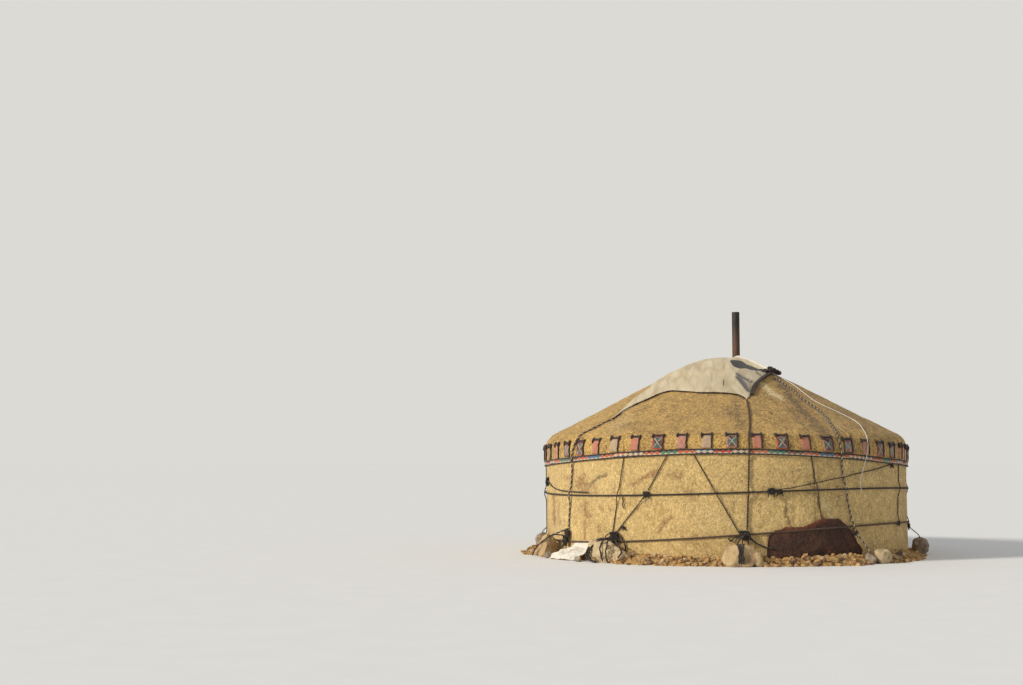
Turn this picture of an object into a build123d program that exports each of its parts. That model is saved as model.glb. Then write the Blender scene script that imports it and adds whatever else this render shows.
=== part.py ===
"""Felt yurt of six lattice sections, with its stove pipe, girth ropes and anchor stones.

The frame is a round trellis wall, bent roof poles and a wooden crown ring. Reed screen, wall felts,
roof felts and a crown cover lie over it, and bands and ropes hold them down to stones.
Millimetres, +Z up, origin on the ground at the centre of the room. The side towards -Y is the
front of the photograph, and the doorway faces +Y. An azimuth is counted from -Y towards +X.
"""
import os
from math import acos, asin, atan2, ceil, cos, degrees, hypot, pi, radians, sin, sqrt, tan

from build123d import *

# Plan and outline of the covers
wall_radius = 3000.0  # outer face of the wall felts
felt_thickness = 18.0
seat_gap = 0.4  # clearance between layers that lie on each other
roof_pitch = 27.3  # degrees above level
eave_over_lattice = 200.0  # the wall line and the roof line would meet this far over the trellis
shoulder_radius = 300.0  # rounding between wall and roof, on the outer face
cover_top = 3290.0  # highest point of the crown cover

# Layers inside the wall felt
reed_thickness = 8.0
reed_height = 1500.0
lath_thickness = 14.0
lath_width = 34.0
lath_bite = 2.0  # how far crossing laths are notched into each other
lattice_height = 1700.0
lattice_rows = 8  # half diamonds from the ground to the top
section_count = 6
cells_per_section = 7

# Doorway, at azimuth 180
door_clear_width = 800.0
door_clear_height = 1450.0
jamb_width = 65.0
frame_depth = 100.0
threshold_height = 60.0
lintel_height = 130.0

# Crown and roof poles
crown_radius = 920.0
crown_ring_width = 80.0
crown_ring_height = 88.0
slat_thickness = 16.0
slat_width = 30.0
slat_spacing = 165.0
pole_count = 48
pole_width = 36.0
pole_bend_radius = 350.0
pole_bend_steps = 5
pole_foot_overlap = 260.0  # how far the feet run down inside the trellis
pole_tip_width = 24.0
pole_tip_length = 60.0
pole_tip_seat = 25.0  # depth of the tip in its mortise
socket_clearance = 0.5

# Stove pipe
pipe_radius = 65.0
pipe_wall = 2.0
pipe_top = 4090.0
pipe_bottom = 2500.0

# Bands, panels and ropes on the felt
band_height = 88.0
band_thickness = 5.0
band_mean_height = 1573.0
band_wave = 95.0  # rise at front and back, fall at the sides
band_lift_front = 15.0
panel_count = 50
panel_width = 135.0
panel_length = 235.0
panel_thickness = 6.0
panel_first = 2.6  # azimuth of the first panel
roll_height = 26.0
roll_thickness = 14.0
roll_overhang = 25.0  # how much wider than its panel a roll is
thick_rope = 16.0  # radius
girth_rope = 15.0  # radius
thin_rope = 10.0  # radius
pull_cord_radius = 6.0
rope_sides = 6
rope_step = 4.0  # degrees between bends of a girth rope
middle_girth_wave = (1045, 20, 35, 35)  # height, its cosine, sine and double sine parts
low_girth_wave = (400, 30, 130, 50)
hem_below_band = 20.0  # the roof felt ends this far under the band's middle
cover_thickness = 8.0
binding_radius = 9.0
cover_rope = 17.0  # radius of the rope rolled into the cover's open edge
cover_lowest = 2500.0  # radius that the cover's farthest corner stays within
shoulder_steps = 6  # straight steps round the shoulder
dome_steps = 6

# Stones and the bank of clods at the foot
bank_width = 340.0
bank_height = 130.0
bank_step = 10.0  # degrees
stone_offset = 215.0  # from the wall felts to the stones' middles
cloth_azimuth = -50.5
cloth_width = 620.0
cloth_thickness = 6.0
hide_thickness = 5.0

# Door flap, rolled up
flap_radius = 80.0
flap_length = 1000.0
strap_thickness = 5.0
strap_width = 30.0
strap_spacing = 330.0

# Values worked out from the sizes above
eave_height = lattice_height + eave_over_lattice
pitch = radians(roof_pitch)
roof_radius = wall_radius + seat_gap + felt_thickness
bend = pi / 2 - pitch
shoulder_run = shoulder_radius * tan(bend / 2)
shoulder_z = eave_height - shoulder_run
shoulder_r = roof_radius - shoulder_radius
slope_start = shoulder_z + shoulder_radius * bend
felt_inner = wall_radius - felt_thickness
reed_outer = felt_inner - seat_gap
reed_inner = reed_outer - reed_thickness
lattice_outer = reed_inner - seat_gap
lattice_inner = lattice_outer - 2 * lath_thickness + lath_bite
door_half_width = door_clear_width / 2 + jamb_width
door_half_angle = degrees(asin((door_half_width + 2) / (lattice_inner - 10)))
door_azimuth = 180.0

os.makedirs("parts", exist_ok=True)


def spot(azimuth, radius, z):
    """The point at that azimuth, distance from the axis and height."""
    a = radians(azimuth)
    return Vector(radius * sin(a), -radius * cos(a), z)


def radial_plane(azimuth):
    """Upright half plane through the axis: its x is the radius and its y the height."""
    a = radians(azimuth)
    return Plane(origin=(0, 0, 0), x_dir=(sin(a), -cos(a), 0), z_dir=(-cos(a), -sin(a), 0))


def roof_height(radius, lift=0.0):
    """Height of the straight roof line over that radius, raised square to the slope."""
    return eave_height + (roof_radius - radius) * tan(pitch) + lift / cos(pitch)


def outline(station, lift=0.0):
    """Radius and height on the roof felt's outer face, by the distance up from the ground."""
    if station <= shoulder_z:
        return roof_radius + lift, station
    if station <= slope_start:
        angle = (station - shoulder_z) / shoulder_radius
        reach = shoulder_radius + lift
        return shoulder_r + reach * cos(angle), shoulder_z + reach * sin(angle)
    run = station - slope_start
    radius, height = outline(slope_start, lift)
    return radius - run * cos(pitch), height + run * sin(pitch)


def band_middle(azimuth):
    """Height of the woven band's middle, which rises at front and back."""
    a = radians(azimuth)
    return band_mean_height + band_wave * cos(2 * a) + band_lift_front * cos(a)


def station_at(radius):
    """Distance up the outline at which the slope reaches that radius."""
    return slope_start + (outline(slope_start)[0] - radius) / cos(pitch)


def strip_corners(low, high, lift):
    """Corners of one face of a strip up the outline, with the shoulder in short straight steps."""
    rise = (slope_start - shoulder_z) / shoulder_steps
    bends = [shoulder_z + rise * step for step in range(shoulder_steps + 1)]
    between = [station for station in bends if low < station < high]
    return [outline(station, lift) for station in (low, *between, high)]


def strip_edges(low, high, lift_in, lift_out):
    """Closed outline of a strip that follows wall, shoulder and slope between two stations."""
    outer = strip_corners(low, high, lift_out)
    Polyline(*strip_corners(low, high, lift_in), *reversed(outer), close=True)


def hem_plane(start, arc, offset):
    """Plane through the band line at both ends and the middle of a sector, raised by the offset."""
    azimuths = (start, start + arc / 2, start + arc)
    low, mid, high = [spot(az, roof_radius, band_middle(az) + offset) for az in azimuths]
    return Plane(origin=low, x_dir=mid - low, z_dir=(mid - low).cross(high - low))


def wall_sector(start, arc, inner, outer, low, high):
    """Upright curved panel between two radii."""
    with BuildPart() as made:
        with BuildSketch(radial_plane(start)):
            with Locations(((inner + outer) / 2, (low + high) / 2)):
                Rectangle(outer - inner, high - low)
        revolve(axis=Axis.Z, revolution_arc=arc)
    return made.part


def save(part, name):
    part.label = name
    export_step(part, f"parts/{name}.step")


seam = degrees(seat_gap / wall_radius)  # open angle between neighbouring felts

# Trellis wall, of flat facets that meet at every second crossing
section_angle = (360 - 2 * door_half_angle) / section_count
half_cell = section_angle / cells_per_section / 2
facet_outer = lattice_outer * cos(radians(half_cell))
facet_inner = facet_outer - 2 * lath_thickness + lath_bite
lath_lean = degrees(atan2(lattice_height / lattice_rows, facet_outer * tan(radians(half_cell))))


def wedge(start, end):
    """Corners of a plan wedge from the axis out past the wall, between two azimuths."""
    edge = [spot(az, wall_radius * 1.2, 0) for az in (start, (start + end) / 2, end)]
    return [(0, 0), *[(corner.X, corner.Y) for corner in edge]]


with BuildPart() as facet:
    for lean, back in ((1, facet_outer - lath_thickness), (-1, facet_inner)):
        with BuildSketch(Plane(origin=(0, -back, 0), x_dir=(1, 0, 0), z_dir=(0, -1, 0))):
            for row in range(1, lattice_rows, 2):
                with Locations((0, lattice_height * row / lattice_rows)):
                    Rectangle(3 * lattice_height / lattice_rows, lath_width, rotation=lean * lath_lean)
        extrude(amount=lath_thickness)
    with BuildSketch():
        Polygon(*wedge(-half_cell, half_cell), align=None)
    extrude(amount=lattice_height, mode=Mode.INTERSECT)

with BuildPart() as trellis:
    turns = [(2 * index + 1) * half_cell for index in range(cells_per_section)]
    add([facet.part.rotate(Axis.Z, turn) for turn in turns])
    with BuildSketch():
        Polygon(*wedge(seam, section_angle - seam), align=None)
    extrude(amount=lattice_height, mode=Mode.INTERSECT)

for index in range(section_count):
    with BuildPart() as trellis_section:
        with Locations(Location((0, 0, 0), (0, 0, door_azimuth + door_half_angle + index * section_angle))):
            add(trellis.part)
    save(trellis_section.part, f"trellis_{index + 1}")

# Reed screen and wall felts
with BuildPart() as reed_screen:
    for index in range(section_count):
        start = door_azimuth + door_half_angle + index * section_angle
        add(wall_sector(start + seam, section_angle - 2 * seam, reed_inner, reed_outer, 0, reed_height))
save(reed_screen.part, "reed_screen")

last_azimuth = door_azimuth - door_half_angle
wall_seams = (-last_azimuth, -78.0, 27.0, 100.0, last_azimuth)
wall_names = ["left_back", "front", "right_front", "right_back"]
for start, end, name in zip(wall_seams, wall_seams[1:], wall_names):
    arc = end - start - 2 * seam
    felt = wall_sector(start + seam, arc, felt_inner, wall_radius, 0, lattice_height)
    save(felt, f"wall_felt_{name}")

# Door frame
frame_outer = sqrt((roof_radius - felt_thickness) ** 2 - door_half_width**2) - 4
frame_middle = frame_outer - frame_depth / 2
lintel_low = threshold_height + door_clear_height
lintel_high = lintel_low + lintel_height

with BuildPart() as door_jambs:
    with Locations(Plane.XY.offset(threshold_height + door_clear_height / 2)):
        for side in (-1, 1):
            with Locations((side * (door_clear_width + jamb_width) / 2, frame_middle)):
                Box(jamb_width, frame_depth, door_clear_height)
save(door_jambs.part, "door_jambs")

with BuildPart() as door_threshold:
    with Locations((0, frame_middle, threshold_height / 2)):
        Box(2 * door_half_width, frame_depth, threshold_height)
save(door_threshold.part, "door_threshold")

with BuildPart() as door_lintel:
    with Locations((0, frame_middle, (lintel_low + lintel_high) / 2)):
        Box(2 * door_half_width, frame_depth, lintel_height)
save(door_lintel.part, "door_lintel")

# Roof poles, with upright feet inside the trellis and square tips in the crown
foot_radius = facet_inner - 1.8 - pole_width / 2
pole_lift = -(felt_thickness + seat_gap + pole_width / 2)
bend_height = roof_height(foot_radius, pole_lift)
bend_centre = (foot_radius - pole_bend_radius, bend_height - pole_bend_radius * tan(bend / 2))
foot_low = lattice_height - pole_foot_overlap
body_end = crown_radius + pole_tip_length - pole_tip_seat


def slope_point(radius, across):
    """Point of the pole's straight stretch at that radius, offset square to its middle line."""
    height = roof_height(radius, pole_lift)
    return radius + across * sin(pitch), height + across * cos(pitch)


def pole_body(foot):
    """Bent pole at azimuth 0, down to the given height."""
    half = pole_width / 2
    with BuildPart() as made:
        with BuildSketch(radial_plane(0)):
            faces = []
            for side in (-half, half):
                reach = pole_bend_radius + side
                turns = [bend * step / pole_bend_steps for step in range(pole_bend_steps + 1)]
                curve = [
                    (bend_centre[0] + reach * cos(t), bend_centre[1] + reach * sin(t)) for t in turns
                ]
                faces.append([(foot_radius + side, foot), *curve, slope_point(body_end, side)])
            Polygon(*faces[0], *reversed(faces[1]), align=None)
        extrude(amount=half, both=True)
        with BuildSketch(radial_plane(0)):
            with BuildLine():
                Polyline(*tip_corners(0), close=True)
            make_face()
        extrude(amount=pole_tip_width / 2, both=True)
    return made.part


def tip_corners(clearance):
    """Side view of a pole's square tip, or of its mortise when a clearance is given."""
    half = pole_tip_width / 2 + clearance
    start = body_end if clearance == 0 else crown_radius + 50
    end = crown_radius - pole_tip_seat - clearance
    corners = [(start, -half), (start, half), (end, half), (end, -half)]
    return [slope_point(distance, side) for distance, side in corners]


pole_step = 360 / pole_count
long_pole = pole_body(foot_low)
door_pole = pole_body(lintel_high + seat_gap)
per_node = pole_count // 4
for group, name in enumerate(["front_right", "back_right", "back_left", "front_left"]):
    with BuildPart() as pole_group:
        for index in range(group * per_node, (group + 1) * per_node):
            azimuth = pole_step * (index + 0.5)
            from_door = abs(foot_radius * sin(radians(azimuth)))
            over_door = abs(azimuth - door_azimuth) < 90 and from_door < door_half_width + pole_width
            with Locations(Location((0, 0, 0), (0, 0, azimuth))):
                add(door_pole if over_door else long_pole)
    save(pole_group.part, f"roof_poles_{name}")

# Crown ring and its domed slats
crown_inner = crown_radius - crown_ring_width
crown_top = roof_height(crown_radius) + 20
crown_low = crown_top - crown_ring_height
slat_top = cover_top - cover_thickness - 6
slat_end = crown_top - 8
slat_sag = slat_top - slat_end
dome_radius = (crown_inner**2 + slat_sag**2) / (2 * slat_sag)
dome_centre = slat_top - dome_radius
felt_top_radius = crown_radius + 10

with BuildPart() as mortises:
    with BuildSketch(radial_plane(0)):
        with BuildLine():
            Polyline(*tip_corners(socket_clearance), close=True)
        make_face()
    extrude(amount=pole_tip_width / 2 + socket_clearance, both=True)

with BuildPart() as crown_ring:
    with BuildSketch(radial_plane(0)):
        with Locations(((crown_inner + crown_radius) / 2, (crown_low + crown_top) / 2)):
            Rectangle(crown_ring_width, crown_ring_height)
    revolve(axis=Axis.Z)
    with Locations(*[Location((0, 0, 0), (0, 0, pole_step * (index + 0.5))) for index in range(pole_count)]):
        add(mortises.part, mode=Mode.SUBTRACT)
save(crown_ring.part, "crown_ring")

with BuildPart() as crown_slats:
    for base, drop in ((Plane.XZ, 0), (Plane.YZ, 6)):
        for offset in (-slat_spacing, 0, slat_spacing):
            reach = sqrt(dome_radius**2 - offset**2)
            with BuildSketch(base.offset(offset)):
                with Locations((0, dome_centre - drop)):
                    Circle(reach)
                    Circle(reach - slat_thickness, mode=Mode.SUBTRACT)
            extrude(amount=slat_width / 2, both=True)
    with Locations((0, 0, crown_low)):
        Cylinder(
            crown_inner - seat_gap,
            crown_ring_height + 500,
            align=(Align.CENTER, Align.CENTER, Align.MIN),
            mode=Mode.INTERSECT,
        )
save(crown_slats.part, "crown_slats")

# Stove pipe in the corner of the slats
pipe_offset = slat_spacing + slat_width / 2 + pipe_radius + 0.3
with BuildPart() as stove_pipe:
    with BuildSketch(Plane.XY.offset(pipe_bottom)):
        with Locations((pipe_offset, pipe_offset)):
            Circle(pipe_radius)
            Circle(pipe_radius - pipe_wall, mode=Mode.SUBTRACT)
    extrude(amount=pipe_top - pipe_bottom)
save(stove_pipe.part, "stove_pipe")

# Roof felts, each hem cut to follow the band
roof_seams = (-50, 40, 130, 220)
hem_low = band_mean_height - band_wave - 150
for start, name in zip(roof_seams, ["front", "right", "back", "left"]):
    with BuildPart() as roof_felt:
        with BuildSketch(radial_plane(start + seam)):
            with BuildLine():
                strip_edges(hem_low, station_at(felt_top_radius), -felt_thickness, 0)
            make_face()
        revolve(axis=Axis.Z, revolution_arc=90 - 2 * seam)
        split(bisect_by=hem_plane(start, 90, -hem_below_band), keep=Keep.TOP)
    save(roof_felt.part, f"roof_felt_{name}")

# Crown cover, a sheet cut out around the pipe
cover_leave = felt_top_radius + 130  # where it lifts off the felts towards the crown's edge
cover_outline = [
    (-1750, -1700),
    (-1590, -1510),
    (-1410, -1385),
    (-1205, -1350),
    (-1000, -1262),
    (-810, -1295),
    (-620, -1440),
    (-350, -1590),
    (280, -1678),
    (385, -1810),
    (436, -1685),
    (473, -1381),
    (613, -1008),
    (787, -496),
    (950, 300),
    (1120, 950),
    (1480, 1480),
    (900, 1180),
    (0, 1120),
    (-900, 1180),
    (-1500, 1500),
    (-1230, 900),
    (-1110, 300),
    (-1110, -250),
    (-1200, -700),
    (-1400, -890),
    (-1570, -1290),
]
vent_outline = [(150, 360), (150, 110), (300, -20), (660, -110), (620, 110), (370, 360)]


def cover_face(lift):
    """Corners of one face of the cover, from the felts over the crown's edge to the dome."""
    low = outline(station_at(cover_lowest), lift)
    leave = (cover_leave, roof_height(cover_leave, lift))
    edge = (crown_radius + 1 + lift * sin(radians(29)), crown_top + 1 + lift * cos(radians(29)))
    reach = dome_radius + 5 + lift
    rise = edge[1] - dome_centre
    angle = atan2(edge[0], rise) - acos(reach / hypot(edge[0], rise))
    turns = [angle * (dome_steps - step) / dome_steps for step in range(dome_steps + 1)]
    dome = [(reach * sin(turn), dome_centre + reach * cos(turn)) for turn in turns]
    return [low, leave, edge, *dome]


with BuildPart() as crown_cover:
    with BuildSketch(radial_plane(0)):
        Polygon(*cover_face(seat_gap), *reversed(cover_face(seat_gap + cover_thickness)), align=None)
    revolve(axis=Axis.Z)
    with BuildSketch():
        Polygon(*cover_outline, align=None)
        Polygon(*vent_outline, align=None, mode=Mode.SUBTRACT)
    extrude(amount=cover_top + 100, mode=Mode.INTERSECT)
save(crown_cover.part, "crown_cover")

# Woven band over the hem of the roof felts
def band_strap(start, arc):
    """Length of the woven band over one sector, level with the band line at both ends and middle."""
    inner = roof_radius + seat_gap
    with BuildPart() as made:
        add(wall_sector(start + seam, arc - 2 * seam, inner, inner + band_thickness, 1300, 1900))
        split(bisect_by=hem_plane(start, arc, -band_height / 2), keep=Keep.TOP)
        split(bisect_by=hem_plane(start, arc, band_height / 2), keep=Keep.BOTTOM)
    return made.part


with BuildPart() as woven_band:
    for index in range(8):
        add(band_strap(45 * index - 22.5, 45))
save(woven_band.part, "woven_band")

# Sewn panels above the band, each under a rolled felt edge
panel_step = 360 / panel_count


def plate(azimuth, low, high, thickness, width, steps):
    """Flat-sided plate on the roof felt, bent along the outline in short steps."""
    lift = seat_gap + 0.6
    stations = [low + (high - low) * step / steps for step in range(steps + 1)]
    inner = [outline(station, lift) for station in stations]
    outer = [outline(station, lift + thickness) for station in reversed(stations)]
    with BuildPart() as made:
        with BuildSketch(radial_plane(azimuth)):
            with BuildLine():
                Polyline(*inner, *outer, close=True)
            make_face()
        extrude(amount=width / 2, both=True)
    return made.part


def panel_foot(azimuth):
    """Height of a panel's lower edge, just over the band."""
    return band_middle(azimuth) + band_height / 2 + 10


panel_azimuths = [panel_first + index * panel_step for index in range(panel_count)]
cloth_length = panel_length - roll_height
with BuildPart() as sewn_panels:
    spans = [(az, panel_foot(az), panel_foot(az) + cloth_length) for az in panel_azimuths]
    add([plate(az, low, high, panel_thickness, panel_width, 5) for az, low, high in spans])
save(sewn_panels.part, "sewn_panels")

with BuildPart() as panel_rolls:
    spans = [(az, high + 0.5, high + 0.5 + roll_height) for az, low, high in spans]
    roll_width = panel_width + roll_overhang
    add([plate(az, low, high, roll_thickness, roll_width, 1) for az, low, high in spans])
save(panel_rolls.part, "panel_rolls")

# Ropes

def rope(points, radius):
    """A rope of few sides along the given points, mitred where it bends."""
    heading = (points[1] - points[0]).normalized()
    outward = Vector(points[0].X, points[0].Y, 0).normalized()
    if points[0].Z > outline(slope_start)[1]:
        outward = outward * sin(pitch) + Vector(0, 0, cos(pitch))
    if abs(outward.dot(heading)) > 0.95:
        outward = Vector(0, 0, 1)
    across = (outward - heading * outward.dot(heading)).normalized()
    other = heading.cross(across)
    turns = [2 * pi * side / rope_sides for side in range(rope_sides)]
    ring = [points[0] + across * (radius * cos(t)) + other * (radius * sin(t)) for t in turns]
    sections = [Wire.make_polygon(ring)]
    for index in range(1, len(points)):
        heading = (points[index] - points[index - 1]).normalized()
        ahead = heading
        if index + 1 < len(points):
            ahead = (points[index + 1] - points[index]).normalized()
        cut = (heading + ahead).normalized()
        ring = [corner + heading * ((points[index] - corner).dot(cut) / heading.dot(cut)) for corner in ring]
        sections.append(Wire.make_polygon(ring))
    return Solid.make_loft(sections, ruled=True)


def girth_height(azimuth, base, cosine, sine, double):
    a = radians(azimuth)
    return base + cosine * cos(a) + sine * sin(a) + double * sin(2 * a)


def girth_points(inner, heights):
    """Bends of a girth rope from one door jamb round the front to the other."""
    reach = (inner + girth_rope) / cos(radians(rope_step / 2))
    last = door_azimuth - door_half_angle - 0.8
    count = ceil(2 * last / rope_step)
    azimuths = [-last + 2 * last * step / count for step in range(count + 1)]
    points = [spot(az, reach, girth_height(az, *heights)) for az in azimuths]
    front = frame_outer + girth_rope + 10
    first, final = points[0], points[-1]
    start = Vector(-door_half_width + 20, front, first.Z)
    end = Vector(door_half_width - 20, front, final.Z)
    return [start, *points, end]


middle_girth = girth_points(wall_radius + seat_gap, middle_girth_wave)
low_girth = girth_points(wall_radius + 2 * seat_gap + hide_thickness, low_girth_wave)
with BuildPart() as girth_ropes:
    add(rope(middle_girth, girth_rope))
    add(rope(low_girth, girth_rope))
save(girth_ropes.part, "girth_ropes")

girth_reach = hide_thickness + 2 * girth_rope + 5  # a rope over a girth rope stands this far off the wall
rope_gap = 0.6  # clearance between a rope and what it lies on
wall_seat = wall_radius - roof_radius + rope_gap
band_seat = band_thickness + seat_gap + 2.6


def ramp(value, low, high):
    """0 below the low value, 1 above the high one, and even between them."""
    return min(1.0, max(0.0, (value - low) / (high - low)))


def rope_seat(azimuth, station, crosses_band):
    """How far a rope's inner side stands from the roof felt's outer face."""
    seat = wall_seat
    if crosses_band:
        low = band_middle(azimuth) - band_height / 2
        high = low + band_height
        seat += (band_seat - wall_seat) * ramp(station, low - 75, low - 15)
        seat -= (band_seat - 3) * ramp(station, high + 15, high + 60)
        seat -= (3 - rope_gap) * ramp(station, slope_start - 20, slope_start + 60)
    for girth in (middle_girth_wave, low_girth_wave):
        away = abs(station - girth_height(azimuth, *girth))
        seat = max(seat, wall_seat + girth_reach * (1 - ramp(away, 45, 130)))
    return seat


def thinned(points, allowed=0.3):
    """The same path without the points that lie in line with their neighbours."""
    kept = [points[0]]
    for point, ahead in zip(points[1:], points[2:]):
        chord = ahead - kept[-1]
        if (point - kept[-1]).cross(chord).length / chord.length > allowed:
            kept.append(point)
    return [*kept, points[-1]]


def rope_path(corners, radius, crosses_band=True, crossings=()):
    """Bends of a tie rope through the given azimuths and stations, close to the covers.

    At the azimuth of a crossing it rises far enough to pass over the rope that lies there.
    """
    points = []
    for (az0, low), (az1, high) in zip(corners, corners[1:]):
        count = max(2, round(abs(high - low) / 45), round(abs(az1 - az0)))
        for step in range(count + 1 if (az1, high) == corners[-1] else count):
            share = step / count
            azimuth = az0 + (az1 - az0) * share
            station = low + (high - low) * share
            lift = rope_seat(azimuth, station, crosses_band) + radius
            for crossing, rise in crossings:
                lift += rise * (1 - ramp(abs(azimuth - crossing), 1.0, 3.5))
            reach, z = outline(station, lift)
            points.append(spot(azimuth, reach, z))
    return thinned(points)


stone_radius = wall_radius + stone_offset
stone_sizes = {
    -65: (330, 300, 330),
    -37: (520, 300, 350),
    5: (470, 290, 300),
    42.5: (190, 180, 150),
    90: (360, 260, 260),
    130: (420, 280, 300),
    -140: (400, 280, 300),
    -100: (340, 260, 260),
}


def down_to_stone(corners, radius, stone, crosses_band=True):
    """Tie rope that ends upright on the top of its anchor stone."""
    points = rope_path(corners, radius, crosses_band)
    top = stone_sizes[stone][2]
    points.append(spot(stone, stone_radius, top + 70))
    points.append(spot(stone, stone_radius, top + 0.3))
    return points


def band_foot(azimuth):
    """Height just under the woven band, where a tie starts."""
    return band_middle(azimuth) - band_height / 2 - 6


def tie_foot(azimuth):
    """Height just over the low girth rope, where a tie ends."""
    return girth_height(azimuth, *low_girth_wave) + girth_rope + 3


def tie_route(top, foot):
    """Route of a tie from the band down to the low girth rope."""
    return [(top, band_foot(top)), (foot, tie_foot(foot))]


anchor_routes = [
    ([(-45.9, station_at(2462)), (-47.3, 2300), (-49.3, 1990), (-51.4, 1650), (-53.5, 900), (-56, 520)], -65),
    ([(11.7, station_at(1885)), (10.3, 2700), (8.6, 2200), (7.4, 1900), (7.2, 1400), (6.5, 500)], 5),
    (
        [(53.3, station_at(1080)), (44, 3260), (42.8, 2750), (38.2, 2280), (35.2, 1900), (36.3, 1330), (40, 500)],
        42.5,
    ),
    ([(135, station_at(2130)), (132, 2400), (130, 2200), (128.4, 1900), (128.4, 1330), (129, 500)], 130),
    ([(-135, station_at(2160)), (-139, 2400), (-143, 2200), (-145, 1900), (-144.5, 1330), (-142, 500)], -140),
]
with BuildPart() as anchor_ropes:
    add([rope(down_to_stone(corners, thick_rope, stone), thick_rope) for corners, stone in anchor_routes])
save(anchor_ropes.part, "anchor_ropes")

# Thin ties, from just under the band to the felt or to a stone
tie_routes = [
    [(-30, band_foot(-30)), (-34.1, 450)],
    [(-16.1, band_foot(-16.1)), (-21.8, 1110)],
    [(-8.2, band_foot(-8.2)), (4.2, 480)],
    [(25.8, band_foot(25.8)), (28.7, 700)],
]
tie_ends = [(66, 64), (110, 108), (150, 148), (-78, -76), (-118, -120), (-158, -160)]
tie_routes += [tie_route(top, foot) for top, foot in tie_ends]
stone_ties = [
    ([(-23.2, 990), (-32.4, 470)], -37),
    ([(92, band_foot(92)), (90.5, 460)], 90),
    ([(-98, band_foot(-98)), (-99.5, 460)], -100),
]
rise_route = [(14.5, 1112), (19.1, 1140), (28.6, 1230), (43.5, 1360), (53.2, 1430), (59.5, band_foot(59.5))]
rise_crossings = [(27.7, 2 * thin_rope + 2), (36.7, 2 * thick_rope + 2)]
tie_paths = [rope_path(corners, thin_rope, False) for corners in tie_routes]
tie_paths += [down_to_stone(corners, thin_rope, stone, False) for corners, stone in stone_ties]
tie_paths.append(rope_path(rise_route, thin_rope, False, rise_crossings))
with BuildPart() as tie_ropes:
    add([rope(points, thin_rope) for points in tie_paths])
save(tie_ropes.part, "tie_ropes")


def edge_path(plan, radius):
    """Bends of a cord that lies on the roof felts along the given plan points."""
    points = []
    for (x0, y0), (x1, y1) in zip(plan, plan[1:]):
        count = ceil(hypot(x1 - x0, y1 - y0) / 130)
        for step in range(count + 1 if (x1, y1) == plan[-1] else count):
            share = step / count
            x, y = x0 + (x1 - x0) * share, y0 + (y1 - y0) * share
            across = roof_height(hypot(x, y), 0.8 + radius)
            points.append(Vector(x, y, across))
    return points


binding_plan = [
    (-1735, -1737),
    (-1583, -1533),
    (-1406, -1408),
    (-1200, -1373),
    (-1000, -1286),
    (-815, -1318),
    (-630, -1462),
    (-354, -1612),
    (280, -1701),
    (345, -1800),
]
rolled_plan = [(462, -1680), (504, -1386), (645, -1000), (822, -500)]
rolled_edge = edge_path(rolled_plan, cover_rope)
with BuildPart() as cover_edging:
    add(rope(edge_path(binding_plan, binding_radius), binding_radius))
    add(rope(rolled_edge, cover_rope))
save(cover_edging.part, "cover_edging")

# Pull cord of the crown cover, loose on the roof and hanging down the wall
cord_route = [
    (64.0, 4170, 14),
    (65.4, 4118, 10),
    (65.6, 4030, 9),
    (64.5, 3890, 9),
    (61.4, 3750, 9),
    (58.3, 3630, 9),
    (55.8, 3500, 9),
    (53.5, 3365, 9),
    (51.8, 3220, 9),
    (51.4, 3070, 9),
    (52.6, 2930, 9),
    (54.3, 2800, 9),
    (55.3, 2655, 9),
    (55.9, 2510, 9),
    (55.2, 2370, 9),
    (53.1, 2240, 10),
    (50.5, 2125, 14),
    (48.5, 2010, 22),
    (47.1, 1895, 30),
    (46.4, 1780, 30),
    (45.9, 1665, 24),
    (45.1, 1555, 24),
    (44.2, 1450, 24),
    (43.4, 1350, 24),
    (42.7, 1255, 24),
    (42.6, 1160, 25),
    (43.1, 1070, 26),
]


def cord_radii(points):
    """Arc at each corner: 0.45 of the shorter run, over the tangent of half the turn."""
    radii = []
    for before, here, ahead in zip(points, points[1:], points[2:]):
        turn = radians((here - before).get_angle(ahead - here))
        shorter = min((here - before).length, (ahead - here).length)
        radii.append(0.45 * shorter / tan(turn / 2))
    return radii


heading = (rolled_edge[-1] - rolled_edge[-2]).normalized()
start = rolled_edge[-1] + heading * 0.3
leave = rolled_edge[-1] + heading * 45
print("cord start", start, leave)
cord_points = [start, leave, *[spot(az, *outline(station, lift)) for az, station, lift in cord_route]]
radii = cord_radii(cord_points)
with BuildPart() as pull_cord:
    with BuildLine() as cord_line:
        FilletPolyline(*cord_points, radius=radii)
    first = cord_points[1] - cord_points[0]
    with BuildSketch(Plane(origin=cord_points[0], z_dir=first)):
        Circle(pull_cord_radius)
    sweep()
save(pull_cord.part, "pull_cord")
print("cord radii", [round(radius) for radius in radii])
print("cord runs", [round((b - a).length) for a, b in zip(cord_points, cord_points[1:])])
cord_length = cord_line.wire().length
share = pull_cord.part.volume / (pi * pull_cord_radius**2 * cord_length)
print("cord length", round(cord_length), "volume over section times length", round(share, 4))

# Stones that hold the ropes down, and the clods banked against the foot


def boulder(azimuth, width, depth, height, turn):
    """Block with uneven corners, widest a third of the way up."""
    waist = height * 0.35
    angles = [turn + 360 * (side + 0.22 * sin(3.1 * side + turn)) / 7 for side in range(7)]
    corners = [(width / 2 * cos(radians(a)), depth / 2 * sin(radians(a))) for a in angles]
    across = Vector(cos(radians(azimuth)), sin(radians(azimuth)), 0)
    level = Plane(origin=spot(azimuth, stone_radius, waist), x_dir=across, z_dir=(0, 0, 1))
    with BuildPart() as made:
        with BuildSketch(level):
            Polygon(*corners, align=None)
        extrude(amount=height - waist, taper=20)
        with BuildSketch(level):
            Polygon(*corners, align=None)
        extrude(amount=-waist, taper=12)
    return made.part


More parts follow.
